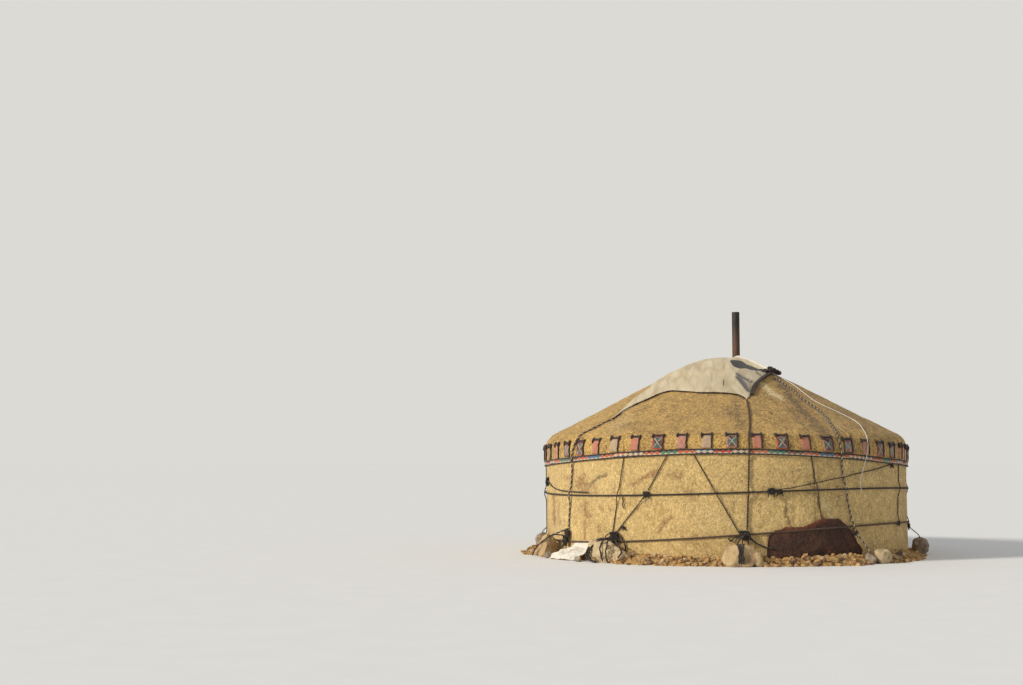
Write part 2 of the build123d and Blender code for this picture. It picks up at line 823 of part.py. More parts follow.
with BuildPart() as anchor_stones:
    for azimuth, (width, depth, height) in stone_sizes.items():
        add(boulder(azimuth, width, depth, height, 17 * azimuth % 50))
save(anchor_stones.part, "anchor_stones")


def bank_outline(size):
    """Section of the bank: a low heap against the wall, steeper behind than in front."""
    inner = wall_radius + 0.5
    width = bank_width * size
    height = bank_height * size
    return [
        (inner, 0),
        (inner + width, 0),
        (inner + 0.8 * width, 0.5 * height),
        (inner + 0.3 * width, height),
        (inner, 1.1 * height),
    ]


widths = {**{azimuth: size[0] for azimuth, size in stone_sizes.items()}, cloth_azimuth: cloth_width}


def bank_free(azimuth):
    """Whether a piece of the bank at that azimuth is clear of the stones and the cloth."""
    for middle, width in widths.items():
        half_angle = degrees(atan2(width / 2, stone_radius))
        if abs(azimuth - middle) < bank_step / 2 + half_angle + 0.2:
            return False
    return True


with BuildPart() as foot_bank:
    for index in range(34):
        azimuth = -165 + index * bank_step
        if not bank_free(azimuth):
            continue
        with BuildSketch(radial_plane(azimuth)):
            Polygon(*bank_outline(1 + 0.22 * sin(2.3 * index)), align=None)
        extrude(amount=wall_radius * tan(radians(bank_step / 2)) - 4, both=True)
    with BuildSketch(radial_plane(cloth_azimuth)):
        Polygon(*bank_outline(1.0), align=None)
    extrude(amount=cloth_width / 2 - 15, both=True)
save(foot_bank.part, "foot_bank")

# Cloth spread over the bank beside the left anchor stone
with BuildPart() as foot_cloth:
    with BuildSketch(radial_plane(cloth_azimuth)):
        heap = bank_outline(1.0)
        upper = [(heap[0][0], heap[4][1] + 90), *[(r, z + 0.3) for r, z in (heap[4], heap[3], heap[2])]]
        upper.append((heap[1][0] + 25, 12))
        over = [(r + 0.6 * cloth_thickness, z + 0.9 * cloth_thickness) for r, z in reversed(upper)]
        Polygon(*upper, *over, align=None)
    extrude(amount=cloth_width / 2, both=True)
save(foot_cloth.part, "foot_cloth")

# Hide hung over the foot of the wall
hide_edge = [
    (12, 175),
    (12.5, 430),
    (14.5, 510),
    (17.4, 560),
    (22.9, 560),
    (28.4, 680),
    (34.5, 680),
    (38.9, 500),
    (43.5, 175),
]
hide_middle = 28.0
hide_inner = wall_radius + seat_gap
with BuildPart() as foot_hide:
    add(wall_sector(10, 36, hide_inner, hide_inner + hide_thickness, 100, 800))
    across = Vector(cos(radians(hide_middle)), sin(radians(hide_middle)), 0)
    face = Plane(origin=(0, 0, 0), x_dir=across, z_dir=spot(hide_middle, 1, 0))
    with BuildSketch(face):
        corners = [(wall_radius * sin(radians(az - hide_middle)), z) for az, z in hide_edge]
        Polygon(*corners, align=None)
    extrude(amount=wall_radius * 1.1, mode=Mode.INTERSECT)
save(foot_hide.part, "foot_hide")

# Door flap rolled up over the lintel
flap_y = roof_radius + band_thickness + strap_thickness + 3 * seat_gap + flap_radius
flap_z = band_middle(door_azimuth) - band_height / 2 + 8
with BuildPart() as door_flap:
    with BuildSketch(Plane.YZ.offset(-flap_length / 2)):
        with Locations((flap_y, flap_z)):
            RegularPolygon(flap_radius, 20)
    extrude(amount=flap_length)
save(door_flap.part, "door_flap")

with BuildPart() as flap_straps:
    for offset in (-strap_spacing, 0, strap_spacing):
        with BuildSketch(Plane.YZ.offset(offset - strap_width / 2)):
            with Locations((flap_y, flap_z)):
                RegularPolygon(flap_radius + seat_gap + strap_thickness, 20)
                RegularPolygon(flap_radius + seat_gap, 20, mode=Mode.SUBTRACT)
        extrude(amount=strap_width)
save(flap_straps.part, "flap_straps")

for part, name in (
    (trellis.part, "trellis section"),
    (crown_cover.part, "crown cover"),
    (anchor_ropes.part, "anchor ropes"),
):
    print(name, round(part.volume / 1e9, 5), "m3,", len(part.solids()), "solids")
print("trellis faces", len(trellis.part.faces()))
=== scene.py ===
"""Looks of the felt yurt: woolly felts, draped crown cover, woven band, sewn panels, twisted ropes.

Metres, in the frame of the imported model. An azimuth is counted from -Y (the front) towards +X.
A station is the distance up from the ground along the outer face of wall line, shoulder and roof.
"""

import random
from math import acos, atan2, ceil, cos, degrees, exp, hypot, pi, radians, sin, sqrt, tan

import bmesh
import bpy
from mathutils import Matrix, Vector, noise


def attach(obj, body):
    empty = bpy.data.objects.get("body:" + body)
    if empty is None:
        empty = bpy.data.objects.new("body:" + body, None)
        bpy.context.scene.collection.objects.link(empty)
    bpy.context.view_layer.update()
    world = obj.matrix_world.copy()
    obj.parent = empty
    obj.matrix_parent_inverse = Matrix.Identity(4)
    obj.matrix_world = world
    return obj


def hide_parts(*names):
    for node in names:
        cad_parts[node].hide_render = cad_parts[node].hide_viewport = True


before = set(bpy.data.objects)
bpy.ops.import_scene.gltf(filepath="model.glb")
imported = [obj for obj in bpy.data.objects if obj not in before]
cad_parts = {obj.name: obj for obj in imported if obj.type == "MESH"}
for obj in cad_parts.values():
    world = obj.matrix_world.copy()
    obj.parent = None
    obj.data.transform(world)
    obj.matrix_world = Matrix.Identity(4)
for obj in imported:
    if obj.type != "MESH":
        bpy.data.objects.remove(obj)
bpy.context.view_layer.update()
rng = random.Random(11)
scene = bpy.context.scene

# Sizes repeated from the solids, in metres
wall_radius = 3.0
felt = 0.018
roof_radius = 3.0184
eave = 1.9
pitch = radians(27.3)
shoulder_radius = 0.3
bend = pi / 2 - pitch
shoulder_z = eave - shoulder_radius * tan(bend / 2)
shoulder_r = roof_radius - shoulder_radius
slope_start = shoulder_z + shoulder_radius * bend
wall_top = 1.7
crown_radius = 0.92
cover_top = 3.29
band_height = 0.088
band_inner = 3.0188
jamb_azimuth = 9.15

# Camera, at the photograph's place and angle
camera_data = bpy.data.cameras.new("camera")
camera_data.lens = 50
camera_data.sensor_width = 36
camera_data.clip_end = 500
camera = bpy.data.objects.new("camera", camera_data)
camera.location = (0, -24.46, 1.60)
camera.rotation_euler = (radians(90 + 4.607), 0, radians(8.436))
scene.collection.objects.link(camera)
scene.camera = camera
scene.view_settings.view_transform = "Standard"


def spot(azimuth, radius, z):
    a = radians(azimuth)
    return Vector((radius * sin(a), -radius * cos(a), z))


def outward(azimuth):
    """Level direction away from the axis."""
    return spot(azimuth, 1, 0)


def rightward(azimuth):
    """Level direction along the wall."""
    return spot(azimuth + 90, 1, 0)


def outline(station, lift=0.0):
    """Radius and height on the roof felt's outer face."""
    if station <= shoulder_z:
        return roof_radius + lift, station
    if station <= slope_start:
        angle = (station - shoulder_z) / shoulder_radius
        reach = shoulder_radius + lift
        return shoulder_r + reach * cos(angle), shoulder_z + reach * sin(angle)
    run = station - slope_start
    radius, height = outline(slope_start, lift)
    return radius - run * cos(pitch), height + run * sin(pitch)


def on_cover(azimuth, station, lift=0.0):
    return spot(azimuth, *outline(station, lift))


def roof_height(radius, lift=0.0):
    return eave + (roof_radius - radius) * tan(pitch) + lift / cos(pitch)


def station_at(radius):
    return slope_start + (outline(slope_start)[0] - radius) / cos(pitch)


def band_middle(azimuth):
    a = radians(azimuth)
    return 1.573 + 0.095 * cos(2 * a) + 0.015 * cos(a)


def ripple(x, y=0.0, z=0.0):
    """Smooth noise from about -1 to 1."""
    return noise.noise(Vector((x, y, z)))


def wave(point, scale, seed=0.0):
    return ripple(point.x * scale + seed, point.y * scale - 2 * seed, point.z * scale + 3 * seed)


def waves(point, *terms):
    """Sum of noises, each given by its size, scale and seed."""
    return sum(size * wave(point, scale, seed) for size, scale, seed in terms)


def slope(value, low, high):
    """0 below the low value, 1 above the high one, and even between them."""
    return min(1.0, max(0.0, (value - low) / (high - low)))


def smooth_step(low, high, value):
    share = slope(value, low, high)
    return share * share * (3 - 2 * share)


def even(count):
    """Shares from 0 to 1, evenly spaced."""
    return [step / (count - 1) for step in range(count)]


def tint(colour, factor):
    return tuple(min(1, factor * c) for c in colour)


# Materials
class Field:
    """Output of a node, which can be reckoned with and ramped."""

    def __init__(self, shade, socket):
        self.shade, self.socket = shade, socket

    def __add__(self, other):
        return self.shade.math("ADD", self, other)

    def __sub__(self, other):
        return self.shade.math("SUBTRACT", self, other)

    def __rsub__(self, other):
        return self.shade.math("SUBTRACT", other, self)

    def __mul__(self, other):
        return self.shade.math("MULTIPLY", self, other)

    def __abs__(self):
        return self.shade.math("ABSOLUTE", self)

    def __lt__(self, other):
        return self.shade.math("LESS_THAN", self, other)

    def __gt__(self, other):
        return self.shade.math("GREATER_THAN", self, other)

    def ramp(self, *stops):
        """Colours or shares along the field's values, as places with what they hold."""
        made = self.shade.tree.nodes.new("ShaderNodeValToRGB")
        self.shade.join(self, made.inputs["Fac"])
        while len(made.color_ramp.elements) < len(stops):
            made.color_ramp.elements.new(0.5)
        for element, (place, colour) in zip(made.color_ramp.elements, stops):
            element.position = place
            element.color = (*colour, 1) if isinstance(colour, tuple) else (colour, colour, colour, 1)
        return Field(self.shade, made.outputs["Color"])


class Shade:
    """Node tree of one material, its colour laid on step by step."""

    def __init__(self, name, roughness):
        self.material = bpy.data.materials.new(name)
        self.material.use_nodes = True
        self.tree = self.material.node_tree
        self.shader = self.tree.nodes["Principled BSDF"]
        self.shader.inputs["Roughness"].default_value = roughness
        self.place = self.node("ShaderNodeTexCoord", "Object", {})
        self.colour = None

    def join(self, value, socket):
        if isinstance(value, Field):
            self.tree.links.new(value.socket, socket)
        elif isinstance(value, tuple) and socket.type == "RGBA":
            socket.default_value = (*value, 1)
        else:
            socket.default_value = value

    def node(self, kind, output, inputs, **settings):
        made = self.tree.nodes.new(kind)
        for key, value in settings.items():
            setattr(made, key, value)
        for key, value in inputs.items():
            self.join(value, made.inputs[key])
        return Field(self, made.outputs[output])

    def math(self, operation, first, second=0.0):
        return self.node("ShaderNodeMath", "Value", {0: first, 1: second}, operation=operation)

    def stretched(self, *scale):
        return self.node("ShaderNodeMapping", "Vector", {"Vector": self.place, "Scale": scale})

    def noise(self, scale, detail, vector=None, distortion=0.0, rough=0.55):
        inputs = {"Scale": scale, "Detail": detail, "Roughness": rough, "Distortion": distortion}
        return self.node("ShaderNodeTexNoise", "Fac", {"Vector": vector or self.place, **inputs})

    def split(self, vector, axis):
        return self.node("ShaderNodeSeparateXYZ", axis, {"Vector": vector})

    def bar(self, middle, half_width, half_length):
        """1 on a narrow bar along y, seen from above, fading at its edges."""
        share = 1.0
        for axis, place, half in (("X", middle[0], half_width), ("Y", middle[1], half_length)):
            inputs = {"From Min": 0.6 * half, "From Max": 1.3 * half, "To Min": 1.0, "To Max": 0.0}
            inputs["Value"] = abs(self.split(self.place, axis) - place)
            share = self.node("ShaderNodeMapRange", "Result", inputs, interpolation_type="SMOOTHSTEP") * share
        return share

    def attribute(self, name):
        return self.node("ShaderNodeAttribute", "Color", {}, attribute_name=name)

    def marks(self):
        """The three channels that are painted on the mesh."""
        painted = {"Color": self.attribute("marks")}
        channels = ("Red", "Green", "Blue")
        return [self.node("ShaderNodeSeparateColor", channel, painted) for channel in channels]

    def lay(self, share, tone):
        """Lay a tone over the colour so far."""
        inputs = {"Factor": share, "A": self.colour, "B": tone}
        self.colour = self.node("ShaderNodeMix", "Result", inputs, data_type="RGBA")

    def finish(self, height=None, distance=0.002, sheen=0.0, metallic=0.0):
        """The material, with its relief from a field of heights."""
        values = {"Base Color": self.colour, "Metallic": metallic}
        if sheen:
            values.update({"Sheen Weight": sheen, "Sheen Roughness": 0.5})
        if height is not None:
            relief = {"Distance": distance, "Height": height}
            values["Normal"] = self.node("ShaderNodeBump", "Normal", relief)
        for key, value in values.items():
            self.join(value, self.shader.inputs[key])
        return self.material


def felt_material(name, ground, dark, speckle, amount, strength, blotch):
    """Coarse sheep's wool felt: mottled ground, specks, rust marks, dark wool marks with painted shade, and
    pale wool marks with painted highlights.
    """
    s = Shade(name, 0.95)
    wool = s.noise(30, 5, distortion=0.6, rough=0.68)
    curls = s.noise(42, 4, distortion=0.9, rough=0.65)
    fine = s.noise(75, 5, rough=0.7)
    straw = s.noise(26, 6, s.stretched(1.3, 1.3, 0.8), 1.4, 0.78)
    middle = s.noise(7, 6, distortion=0.7, rough=0.65)
    s.colour = middle.ramp((0.36, dark), (0.50, ground), (0.64, tint(ground, 1.16)))
    s.lay(s.noise(1.6, 5).ramp((0.42, 0.0), (0.60, 0.55)), tint(ground, 0.84))
    s.lay(wool.ramp((0.36, strength), (0.55, 0.0)), tint(dark, 0.55))
    s.lay(curls.ramp((0.55, 0.0), (0.68, 0.6)), tint(ground, 1.35))
    s.lay(curls.ramp((0.36, 1.0), (0.45, 0.0)) * blotch, tint(dark, 0.5))
    limit = fine * 0.62 + s.noise(3.2, 4, distortion=0.6) * 0.38
    s.lay(limit.ramp((amount, 0.0), (amount + 0.04, 1.0)) * 0.8, speckle)
    s.lay(straw.ramp((0.40, 1.0), (0.47, 0.0)) * blotch, tint(dark, 0.42))
    s.lay(straw.ramp((0.53, 0.0), (0.60, 0.8)), tint(ground, 1.5))
    ragged = (s.noise(20, 6, distortion=1.2, rough=0.75) + curls) * 0.5
    # Marks: rust; dark wool and painted shade in creases and on the shaded side; pale wool and painted
    # highlights on folds
    for mark, tone in zip(s.marks(), ((0.25, 0.105, 0.04), (0.085, 0.052, 0.03), (0.82, 0.66, 0.38))):
        field = (mark * 0.21 + ragged).ramp((0.585, 0.0), (0.70, 1.0))
        s.lay(field * mark.ramp((0.0, 0.0), (0.2, 1.0)) * 0.85, tone)
    s.lay(s.noise(190, 3, rough=0.7).ramp((0.3, 0.3), (0.6, 0.0)), tint(ground, 0.5))
    return s.finish(straw * 0.62 + fine * 0.38, 0.030, sheen=0.08)


def canvas_material():
    """Weathered canvas with painted shade in the hollow by the pipe, on folds, in a slit and along a crease,
    and a painted highlight on the turned edge.
    """
    s = Shade("canvas", 0.9)
    folds = s.noise(3.5, 4, s.stretched(2.4, 0.5, 0.5), 0.4)
    s.colour = folds.ramp((0.34, (0.44, 0.34, 0.205)), (0.52, (0.56, 0.455, 0.29)), (0.7, (0.64, 0.55, 0.38)))
    s.lay(s.noise(9, 5).ramp((0.42, 0.0), (0.75, 0.3)), (0.50, 0.40, 0.25))
    hollow_shade, shaded, painted_highlight = s.marks()
    # Painted shade in the hollow beside the pipe, standing for the shadowed opening
    hollow_shade += (s.noise(20, 4) - 0.5) * 0.5
    s.lay(hollow_shade.ramp((0.36, 0.0), (0.58, 0.97)), (0.012, 0.012, 0.014))
    s.lay(shaded * 0.9, (0.075, 0.072, 0.078))
    # Painted shade for a slit, then a softer line of painted shade along a crease
    s.lay(s.bar((0.025, -1.310), 0.010, 0.115) * 0.9, (0.05, 0.04, 0.03))
    s.lay(s.bar((-0.165, -1.125), 0.016, 0.17) * 0.4, (0.30, 0.25, 0.18))
    # Painted highlight along the edge turned over
    s.lay(painted_highlight * 0.9, (0.86, 0.83, 0.76))
    return s.finish(s.noise(420, 2) * 0.35 + s.noise(35, 4) * 0.65, 0.005, sheen=0.1)


def wool_material(name, light, dark, scale):
    s = Shade(name, 0.95)
    hairs = s.noise(scale, 5, distortion=1.2, rough=0.7)
    s.colour = hairs.ramp((0.30, dark), (0.70, light))
    return s.finish(hairs, 0.004, sheen=0.2)


def stone_material(name, light, middle, dark, scale=6.0):
    s = Shade(name, 0.92)
    grit = s.noise(scale * 12, 6, rough=0.7)
    s.colour = s.noise(scale, 6, rough=0.6).ramp((0.3, dark), (0.5, middle), (0.68, light))
    s.lay(grit.ramp((0.35, 0.55), (0.6, 0.0)), dark)
    cells = {"Vector": s.place, "Scale": scale * 2.2}
    cracks = s.node("ShaderNodeTexVoronoi", "Distance", cells, feature="DISTANCE_TO_EDGE")
    return s.finish(grit * 0.7 + cracks.ramp((0.0, 0.0), (0.06, 1.0)) * 0.3, 0.008)


def wood_material(name, light, dark, *stretch):
    """Old wood with a worn stain: grain and bare patches."""
    s = Shade(name, 0.7)
    grain = s.noise(60, 5, s.stretched(*stretch), 1.5)
    s.colour = grain.ramp((0.25, dark), (0.75, light))
    s.lay(s.noise(7, 6, rough=0.65).ramp((0.50, 0.0), (0.62, 0.7)), (0.42, 0.30, 0.19))
    return s.finish(grain, 0.0015)


def band_material():
    s = Shade("woven_wool", 0.93)
    s.colour = s.attribute("pattern")
    yarn = s.noise(300, 3, rough=0.7)
    s.lay(yarn.ramp((0.35, 0.4), (0.6, 0.0)), (0.12, 0.08, 0.06))
    s.lay(s.noise(14, 5).ramp((0.48, 0.0), (0.75, 0.45)), (0.36, 0.25, 0.15))
    return s.finish(yarn, 0.002, sheen=0.15)


def panel_material(name, ground, motif=None, border=None, ornament=None):
    """Faded cloth panel: optional quarter fields, cross and border, drawn from its own width and height."""
    s = Shade(name, 0.92)
    place = s.node("ShaderNodeUVMap", "UV", {}, uv_map="cloth")
    stray = (s.noise(26, 4) - 0.5) * 0.22
    across = abs(s.split(place, "X") + stray - 0.5)
    along = abs(s.split(place, "Y") - stray - 0.5)
    weave = s.noise(330, 3, rough=0.7)
    s.colour = s.noise(18, 5).ramp((0.3, tint(ground, 0.72)), (0.7, ground))
    if ornament:
        s.lay(across > along, ornament)
        s.lay(across + along < 0.17, tint(ornament, 0.4))
    if motif:
        worn = s.noise(34, 5, rough=0.7).ramp((0.40, 0.25), (0.56, 0.95))
        s.lay((abs(across - along) < 0.055) * worn, motif)
    if border:
        s.lay(s.math("MAXIMUM", across, along * 0.97) > 0.40, border)
    s.lay(s.noise(11, 5).ramp((0.45, 0.0), (0.68, 0.4)), (0.42, 0.24, 0.14))
    s.lay(weave.ramp((0.35, 0.45), (0.6, 0.0)), (0.16, 0.10, 0.08))
    return s.finish(weave, 0.002, sheen=0.15)


def hide_material():
    """Brown hide with hair, redder along its upper rim, and painted shade, black, in the dip of a fold."""
    s = Shade("hide", 0.8)
    hair = s.noise(120, 5, s.stretched(1, 1, 0.3), 1.0, 0.7)
    tufts = s.noise(34, 5, distortion=1.2, rough=0.7)
    darkest = (0.012, 0.008, 0.006)
    broad = s.noise(5, 5, distortion=0.5)
    s.colour = broad.ramp((0.40, darkest), (0.54, (0.045, 0.020, 0.012)), (0.70, (0.13, 0.050, 0.025)))
    s.lay(tufts.ramp((0.36, 0.75), (0.56, 0.0)), (0.025, 0.014, 0.01))
    rim, shaded_dip, _ = s.marks()
    s.lay(rim * tufts.ramp((0.40, 0.2), (0.55, 1.0)) * 0.8, (0.36, 0.085, 0.035))
    s.lay(s.noise(55, 5, distortion=0.8, rough=0.7).ramp((0.47, 0.0), (0.60, 0.75)), (0.19, 0.065, 0.026))
    # Painted shade, black, in the dip of the fold
    s.lay(shaded_dip * 0.85, darkest)
    s.lay(hair.ramp((0.3, 0.6), (0.6, 0.0)), (0.03, 0.016, 0.01))
    return s.finish(tufts * 0.6 + hair * 0.4, 0.014)


def pipe_material():
    """Sooty sheet metal that gets rustier from its top down."""
    s = Shade("pipe_steel", 0.62)
    rust_top = 4.15
    rough = s.noise(14, 6, rough=0.7)
    streak = s.noise(9, 5, s.stretched(3, 3, 0.35))
    s.colour = (0.022, 0.017, 0.015)
    s.lay(streak.ramp((0.4, 0.0), (0.65, 0.6)), (0.06, 0.04, 0.03))
    rusty = ((rust_top - (s.split(s.place, "Z") + rough * 0.5)) * 1.2).ramp((0.0, 0.0), (0.55, 1.0))
    s.lay(rusty * streak.ramp((0.3, 0.35), (0.6, 1.0)), (0.135, 0.06, 0.03))
    return s.finish(rough, 0.003, metallic=0.25)


wall_shade = felt_material(
    "wall_felt", (0.78, 0.53, 0.215), (0.56, 0.36, 0.13), (0.17, 0.085, 0.035), 0.585, 0.55, 0.55
)
roof_shade = felt_material(
    "roof_felt", (0.72, 0.44, 0.13), (0.38, 0.22, 0.068), (0.11, 0.06, 0.025), 0.535, 0.75, 0.95
)
flap_shade = felt_material(
    "flap_felt", (0.58, 0.42, 0.20), (0.42, 0.29, 0.13), (0.15, 0.09, 0.04), 0.60, 0.4, 0.5
)
canvas_shade = canvas_material()
binding_shade = wool_material("dark_wool", (0.060, 0.028, 0.017), (0.012, 0.008, 0.006), 120)
rope_dark = wool_material("hair_rope", (0.05, 0.033, 0.024), (0.010, 0.008, 0.007), 260)
rope_brown = wool_material("hair_rope_brown", (0.15, 0.085, 0.05), (0.03, 0.018, 0.012), 260)
rope_pale = wool_material("hair_rope_pale", (0.50, 0.41, 0.29), (0.14, 0.10, 0.07), 120)
stone_tan = stone_material("stone_tan", (0.66, 0.48, 0.26), (0.52, 0.36, 0.18), (0.24, 0.15, 0.08))
stone_pale = stone_material("stone_pale", (0.76, 0.62, 0.40), (0.64, 0.49, 0.28), (0.27, 0.18, 0.10), 9)
stone_grey = stone_material("stone_grey", (0.52, 0.42, 0.30), (0.33, 0.25, 0.17), (0.13, 0.095, 0.07), 8)
clod_shade = stone_material("clods", (0.80, 0.49, 0.18), (0.62, 0.36, 0.125), (0.20, 0.105, 0.045), 14)
clod_dark = stone_material("clods_dark", (0.32, 0.18, 0.10), (0.20, 0.11, 0.065), (0.075, 0.045, 0.03), 14)
earth_shade = stone_material("earth", (0.66, 0.41, 0.155), (0.50, 0.30, 0.11), (0.19, 0.11, 0.045), 10)
lath_shade = wood_material("lath_wood", (0.40, 0.13, 0.07), (0.20, 0.06, 0.035), 1, 1, 0.6)
pole_shade = wood_material("pole_wood", (0.43, 0.15, 0.075), (0.22, 0.07, 0.04), 0.4, 0.4, 0.7)
crown_shade = wood_material("crown_wood", (0.37, 0.13, 0.07), (0.19, 0.06, 0.035), 0.6, 0.6, 0.6)
frame_shade = wood_material("frame_wood", (0.36, 0.14, 0.08), (0.17, 0.065, 0.04), 1, 1, 0.2)
reed_shade = wood_material("reed", (0.62, 0.47, 0.24), (0.38, 0.27, 0.13), 1, 1, 0.1)
cloth_shade = wool_material("white_cloth", (0.84, 0.80, 0.72), (0.60, 0.53, 0.42), 22)
cord_shade = wool_material("pale_cord", (0.85, 0.82, 0.75), (0.50, 0.46, 0.38), 300)
band_shade = band_material()
hide_shade = hide_material()
pipe_shade = pipe_material()

salmon, beige, rose = (0.60, 0.215, 0.13), (0.56, 0.41, 0.25), (0.60, 0.30, 0.20)
red, teal, black, cream = (0.50, 0.045, 0.03), (0.035, 0.12, 0.13), (0.022, 0.02, 0.022), (0.62, 0.50, 0.33)
# Ground, motif, border and ornament of each kind of panel
panel_shades = [
    panel_material("panel_salmon", salmon),
    panel_material("panel_beige", beige),
    panel_material("panel_rose", rose, (0.45, 0.09, 0.07)),
    panel_material("panel_cross", black, cream, (0.44, 0.16, 0.11), teal),
    panel_material("panel_red", teal, cream, red, black),
    panel_material("panel_striped", (0.32, 0.12, 0.10), beige, black, (0.20, 0.24, 0.22)),
]


# Mesh calls
def piece(name, points, faces, shades, nodes=(), smooth=True, kinds=None):
    """One visible piece from its points and faces, riding on the body and standing for its nodes."""
    mesh = bpy.data.meshes.new(name)
    mesh.from_pydata([tuple(p) for p in points], [], faces)
    for shade in shades if isinstance(shades, list) else [shades]:
        mesh.materials.append(shade)
    if kinds:
        mesh.polygons.foreach_set("material_index", kinds)
    mesh.polygons.foreach_set("use_smooth", [smooth] * len(mesh.polygons))
    mesh.update()
    made = bpy.data.objects.new(name, mesh)
    scene.collection.objects.link(made)
    turned = bmesh.new()
    turned.from_mesh(mesh)
    bmesh.ops.recalc_face_normals(turned, faces=turned.faces)
    turned.to_mesh(mesh)
    turned.free()
    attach(made, "root")
    if nodes:
        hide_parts(*nodes)
    return made


def grid_faces(rows, columns, around=False):
    """Quads of a grid of points, closed on itself across the columns if it goes around."""
    faces = []
    for i in range(rows - 1):
        here, above = i * columns, (i + 1) * columns
        for j in range(columns if around else columns - 1):
            right = (j + 1) % columns
            faces.append((here + j, here + right, above + right, above + j))
    return faces


def tube_faces(rows, columns):
    """Faces of a tube with both ends closed."""
    last = (rows - 1) * columns
    return [*grid_faces(rows, columns, True), tuple(range(columns)), tuple(range(last, last + columns))]


def closed_sheet(row_values, column_values, place, around=False):
    """Points, faces and marks of a sheet with its rim.

    The function place takes a row's and a column's value and gives the outer point, the inner
    point and, where the sheet has them, its marks.
    """
    cells = [place(row, column) for row in row_values for column in column_values]
    rows, columns, count = len(row_values), len(column_values), len(cells)
    quads = grid_faces(rows, columns, around)
    faces = quads + [tuple(count + v for v in reversed(quad)) for quad in quads]
    low, high = list(range(columns)), list(range(count - columns, count))
    if around:
        rims = [low, high]
    else:
        right = [i * columns + columns - 1 for i in range(1, rows)]
        left = [i * columns for i in range(rows - 2, 0, -1)]
        rims = [[*low, *right, *high[-2::-1], *left]]
    for rim in rims:
        faces += [(a, b, count + b, count + a) for a, b in zip(rim, rim[1:] + rim[:1])]
    points = [cell[side] for side in (0, 1) for cell in cells]
    return points, faces, [cell[2] for cell in cells if len(cell) > 2]


def outer_area(points, faces):
    """Area of a sheet's outer side, each quad taken as two triangles."""
    area = 0.0
    for a, b, c, d in faces:
        if max(a, b, c, d) < len(points) / 2:
            across = points[c] - points[a]
            area += 0.5 * (points[b] - points[a]).cross(across).length
            area += 0.5 * across.cross(points[d] - points[a]).length
    return area


def sheet_piece(name, form, shade, node):
    """Piece of a closed sheet; its marks become the colour attribute that its material reads."""
    points, faces, marks = form
    made = piece(name, points, faces, shade, [node])
    if marks:
        layer = made.data.color_attributes.new("marks", "FLOAT_COLOR", "POINT")
        layer.data.foreach_set("color", [channel for mark in marks + marks for channel in (*mark, 1.0)])
    return made


def smoothed(points, spacing):
    """Evenly spaced points on a smooth line through the given ones."""
    fine = []
    for i, (p, q) in enumerate(zip(points, points[1:])):
        before = points[i - 1] if i else p * 2 - q
        after = points[i + 2] if i + 2 < len(points) else q * 2 - p
        count = max(2, ceil((q - p).length / spacing * 2))
        for step in range(count):
            t = step / count
            curve = 2 * p + (q - before) * t + (2 * before - 5 * p + 4 * q - after) * t * t
            fine.append(0.5 * (curve + (3 * p - before - 3 * q + after) * t**3))
    fine.append(points[-1].copy())
    spaced, left = [fine[0]], spacing
    for a, b in zip(fine, fine[1:]):
        length = (b - a).length
        gone = 0.0
        while length - gone >= left:
            gone += left
            spaced.append(a + (b - a) * (gone / length))
            left = spacing
        left -= length - gone
    if (spaced[-1] - fine[-1]).length > spacing * 0.4:
        spaced.append(fine[-1])
    else:
        spaced[-1] = fine[-1]
    return spaced


def rope_form(points, radius, strands=3, spacing=None, lay=9.0, loose=0.0):
    """Points, faces and strand numbers of a rope twisted from strands, closed at both ends."""
    line = smoothed(points, spacing or radius)
    part = {2: 0.5, 3: 0.464}[strands]
    bulges = (-78, -26, 26, 78) if strands > 2 else (-84, -42, 0, 42, 84)
    profile = []
    for strand in range(strands):
        base = 2 * pi * strand / strands
        for angle in [base + radians(bulge) for bulge in bulges]:
            x = (1 - part) * cos(base) + part * cos(angle)
            y = (1 - part) * sin(base) + part * sin(angle)
            profile.append((x, y, strand))
    side = (line[1] - line[0]).normalized().cross(Vector((0.3, 0.2, 1))).normalized()
    made, gone = [], 0.0
    for i, here in enumerate(line):
        ahead = (line[min(i + 1, len(line) - 1)] - line[max(i - 1, 0)]).normalized()
        side = (side - ahead * side.dot(ahead)).normalized()
        other = ahead.cross(side)
        if i:
            gone += (here - line[i - 1]).length
        turn = 2 * pi * gone / (lay * radius)
        size = radius * (1 + loose * noise.noise(here * 40))
        for x, y, _ in profile:
            u, v = x * cos(turn) - y * sin(turn), x * sin(turn) + y * cos(turn)
            made.append(here + side * (size * u) + other * (size * v))
    numbers = [strand for _ in line[1:] for _, _, strand in profile]
    return made, tube_faces(len(line), len(profile)), [*numbers, 0, 0]


def knot_line(centre, out, size, turns, seed):
    """A few crossing loops of rope against a surface."""
    out = out.normalized()
    up = Vector((0, 0, 1))
    up = (up - out * up.dot(out)).normalized()
    across = up.cross(out)
    chance = random.Random(seed)
    a, b = chance.uniform(0, 6), chance.uniform(0, 6)
    made = []
    for step in range(turns * 7 + 1):
        t = 2 * pi * step / 7
        point = centre + across * (size * (0.62 * cos(t + a) + 0.30 * cos(1.37 * t)))
        point += up * (size * (0.55 * sin(t * 1.21 + b) + 0.22 * cos(0.6 * t)))
        made.append(point + out * (size * (0.34 * sin(0.77 * t + b))))
    return made


class Heap:
    """Points and faces of several closed shapes, gathered for one piece."""

    def __init__(self):
        self.points, self.faces, self.kinds = [], [], []

    def take(self, points, faces, kinds=0):
        """Add a shape, with one number of its material or a list with one for each face."""
        start = len(self.points)
        self.points += points
        self.faces += [tuple(start + v for v in face) for face in faces]
        self.kinds += kinds if isinstance(kinds, list) else [kinds] * len(faces)

    def rope(self, line, radius, strands=3, strand_kinds=(0, 0, 0), **form):
        points, faces, numbers = rope_form(line, radius, strands, **form)
        self.take(points, faces, [strand_kinds[number] for number in numbers])

    def build(self, name, shades, slot, nodes=(), smooth=True):
        return piece(name, self.points, self.faces, shades, nodes, smooth, self.kinds)


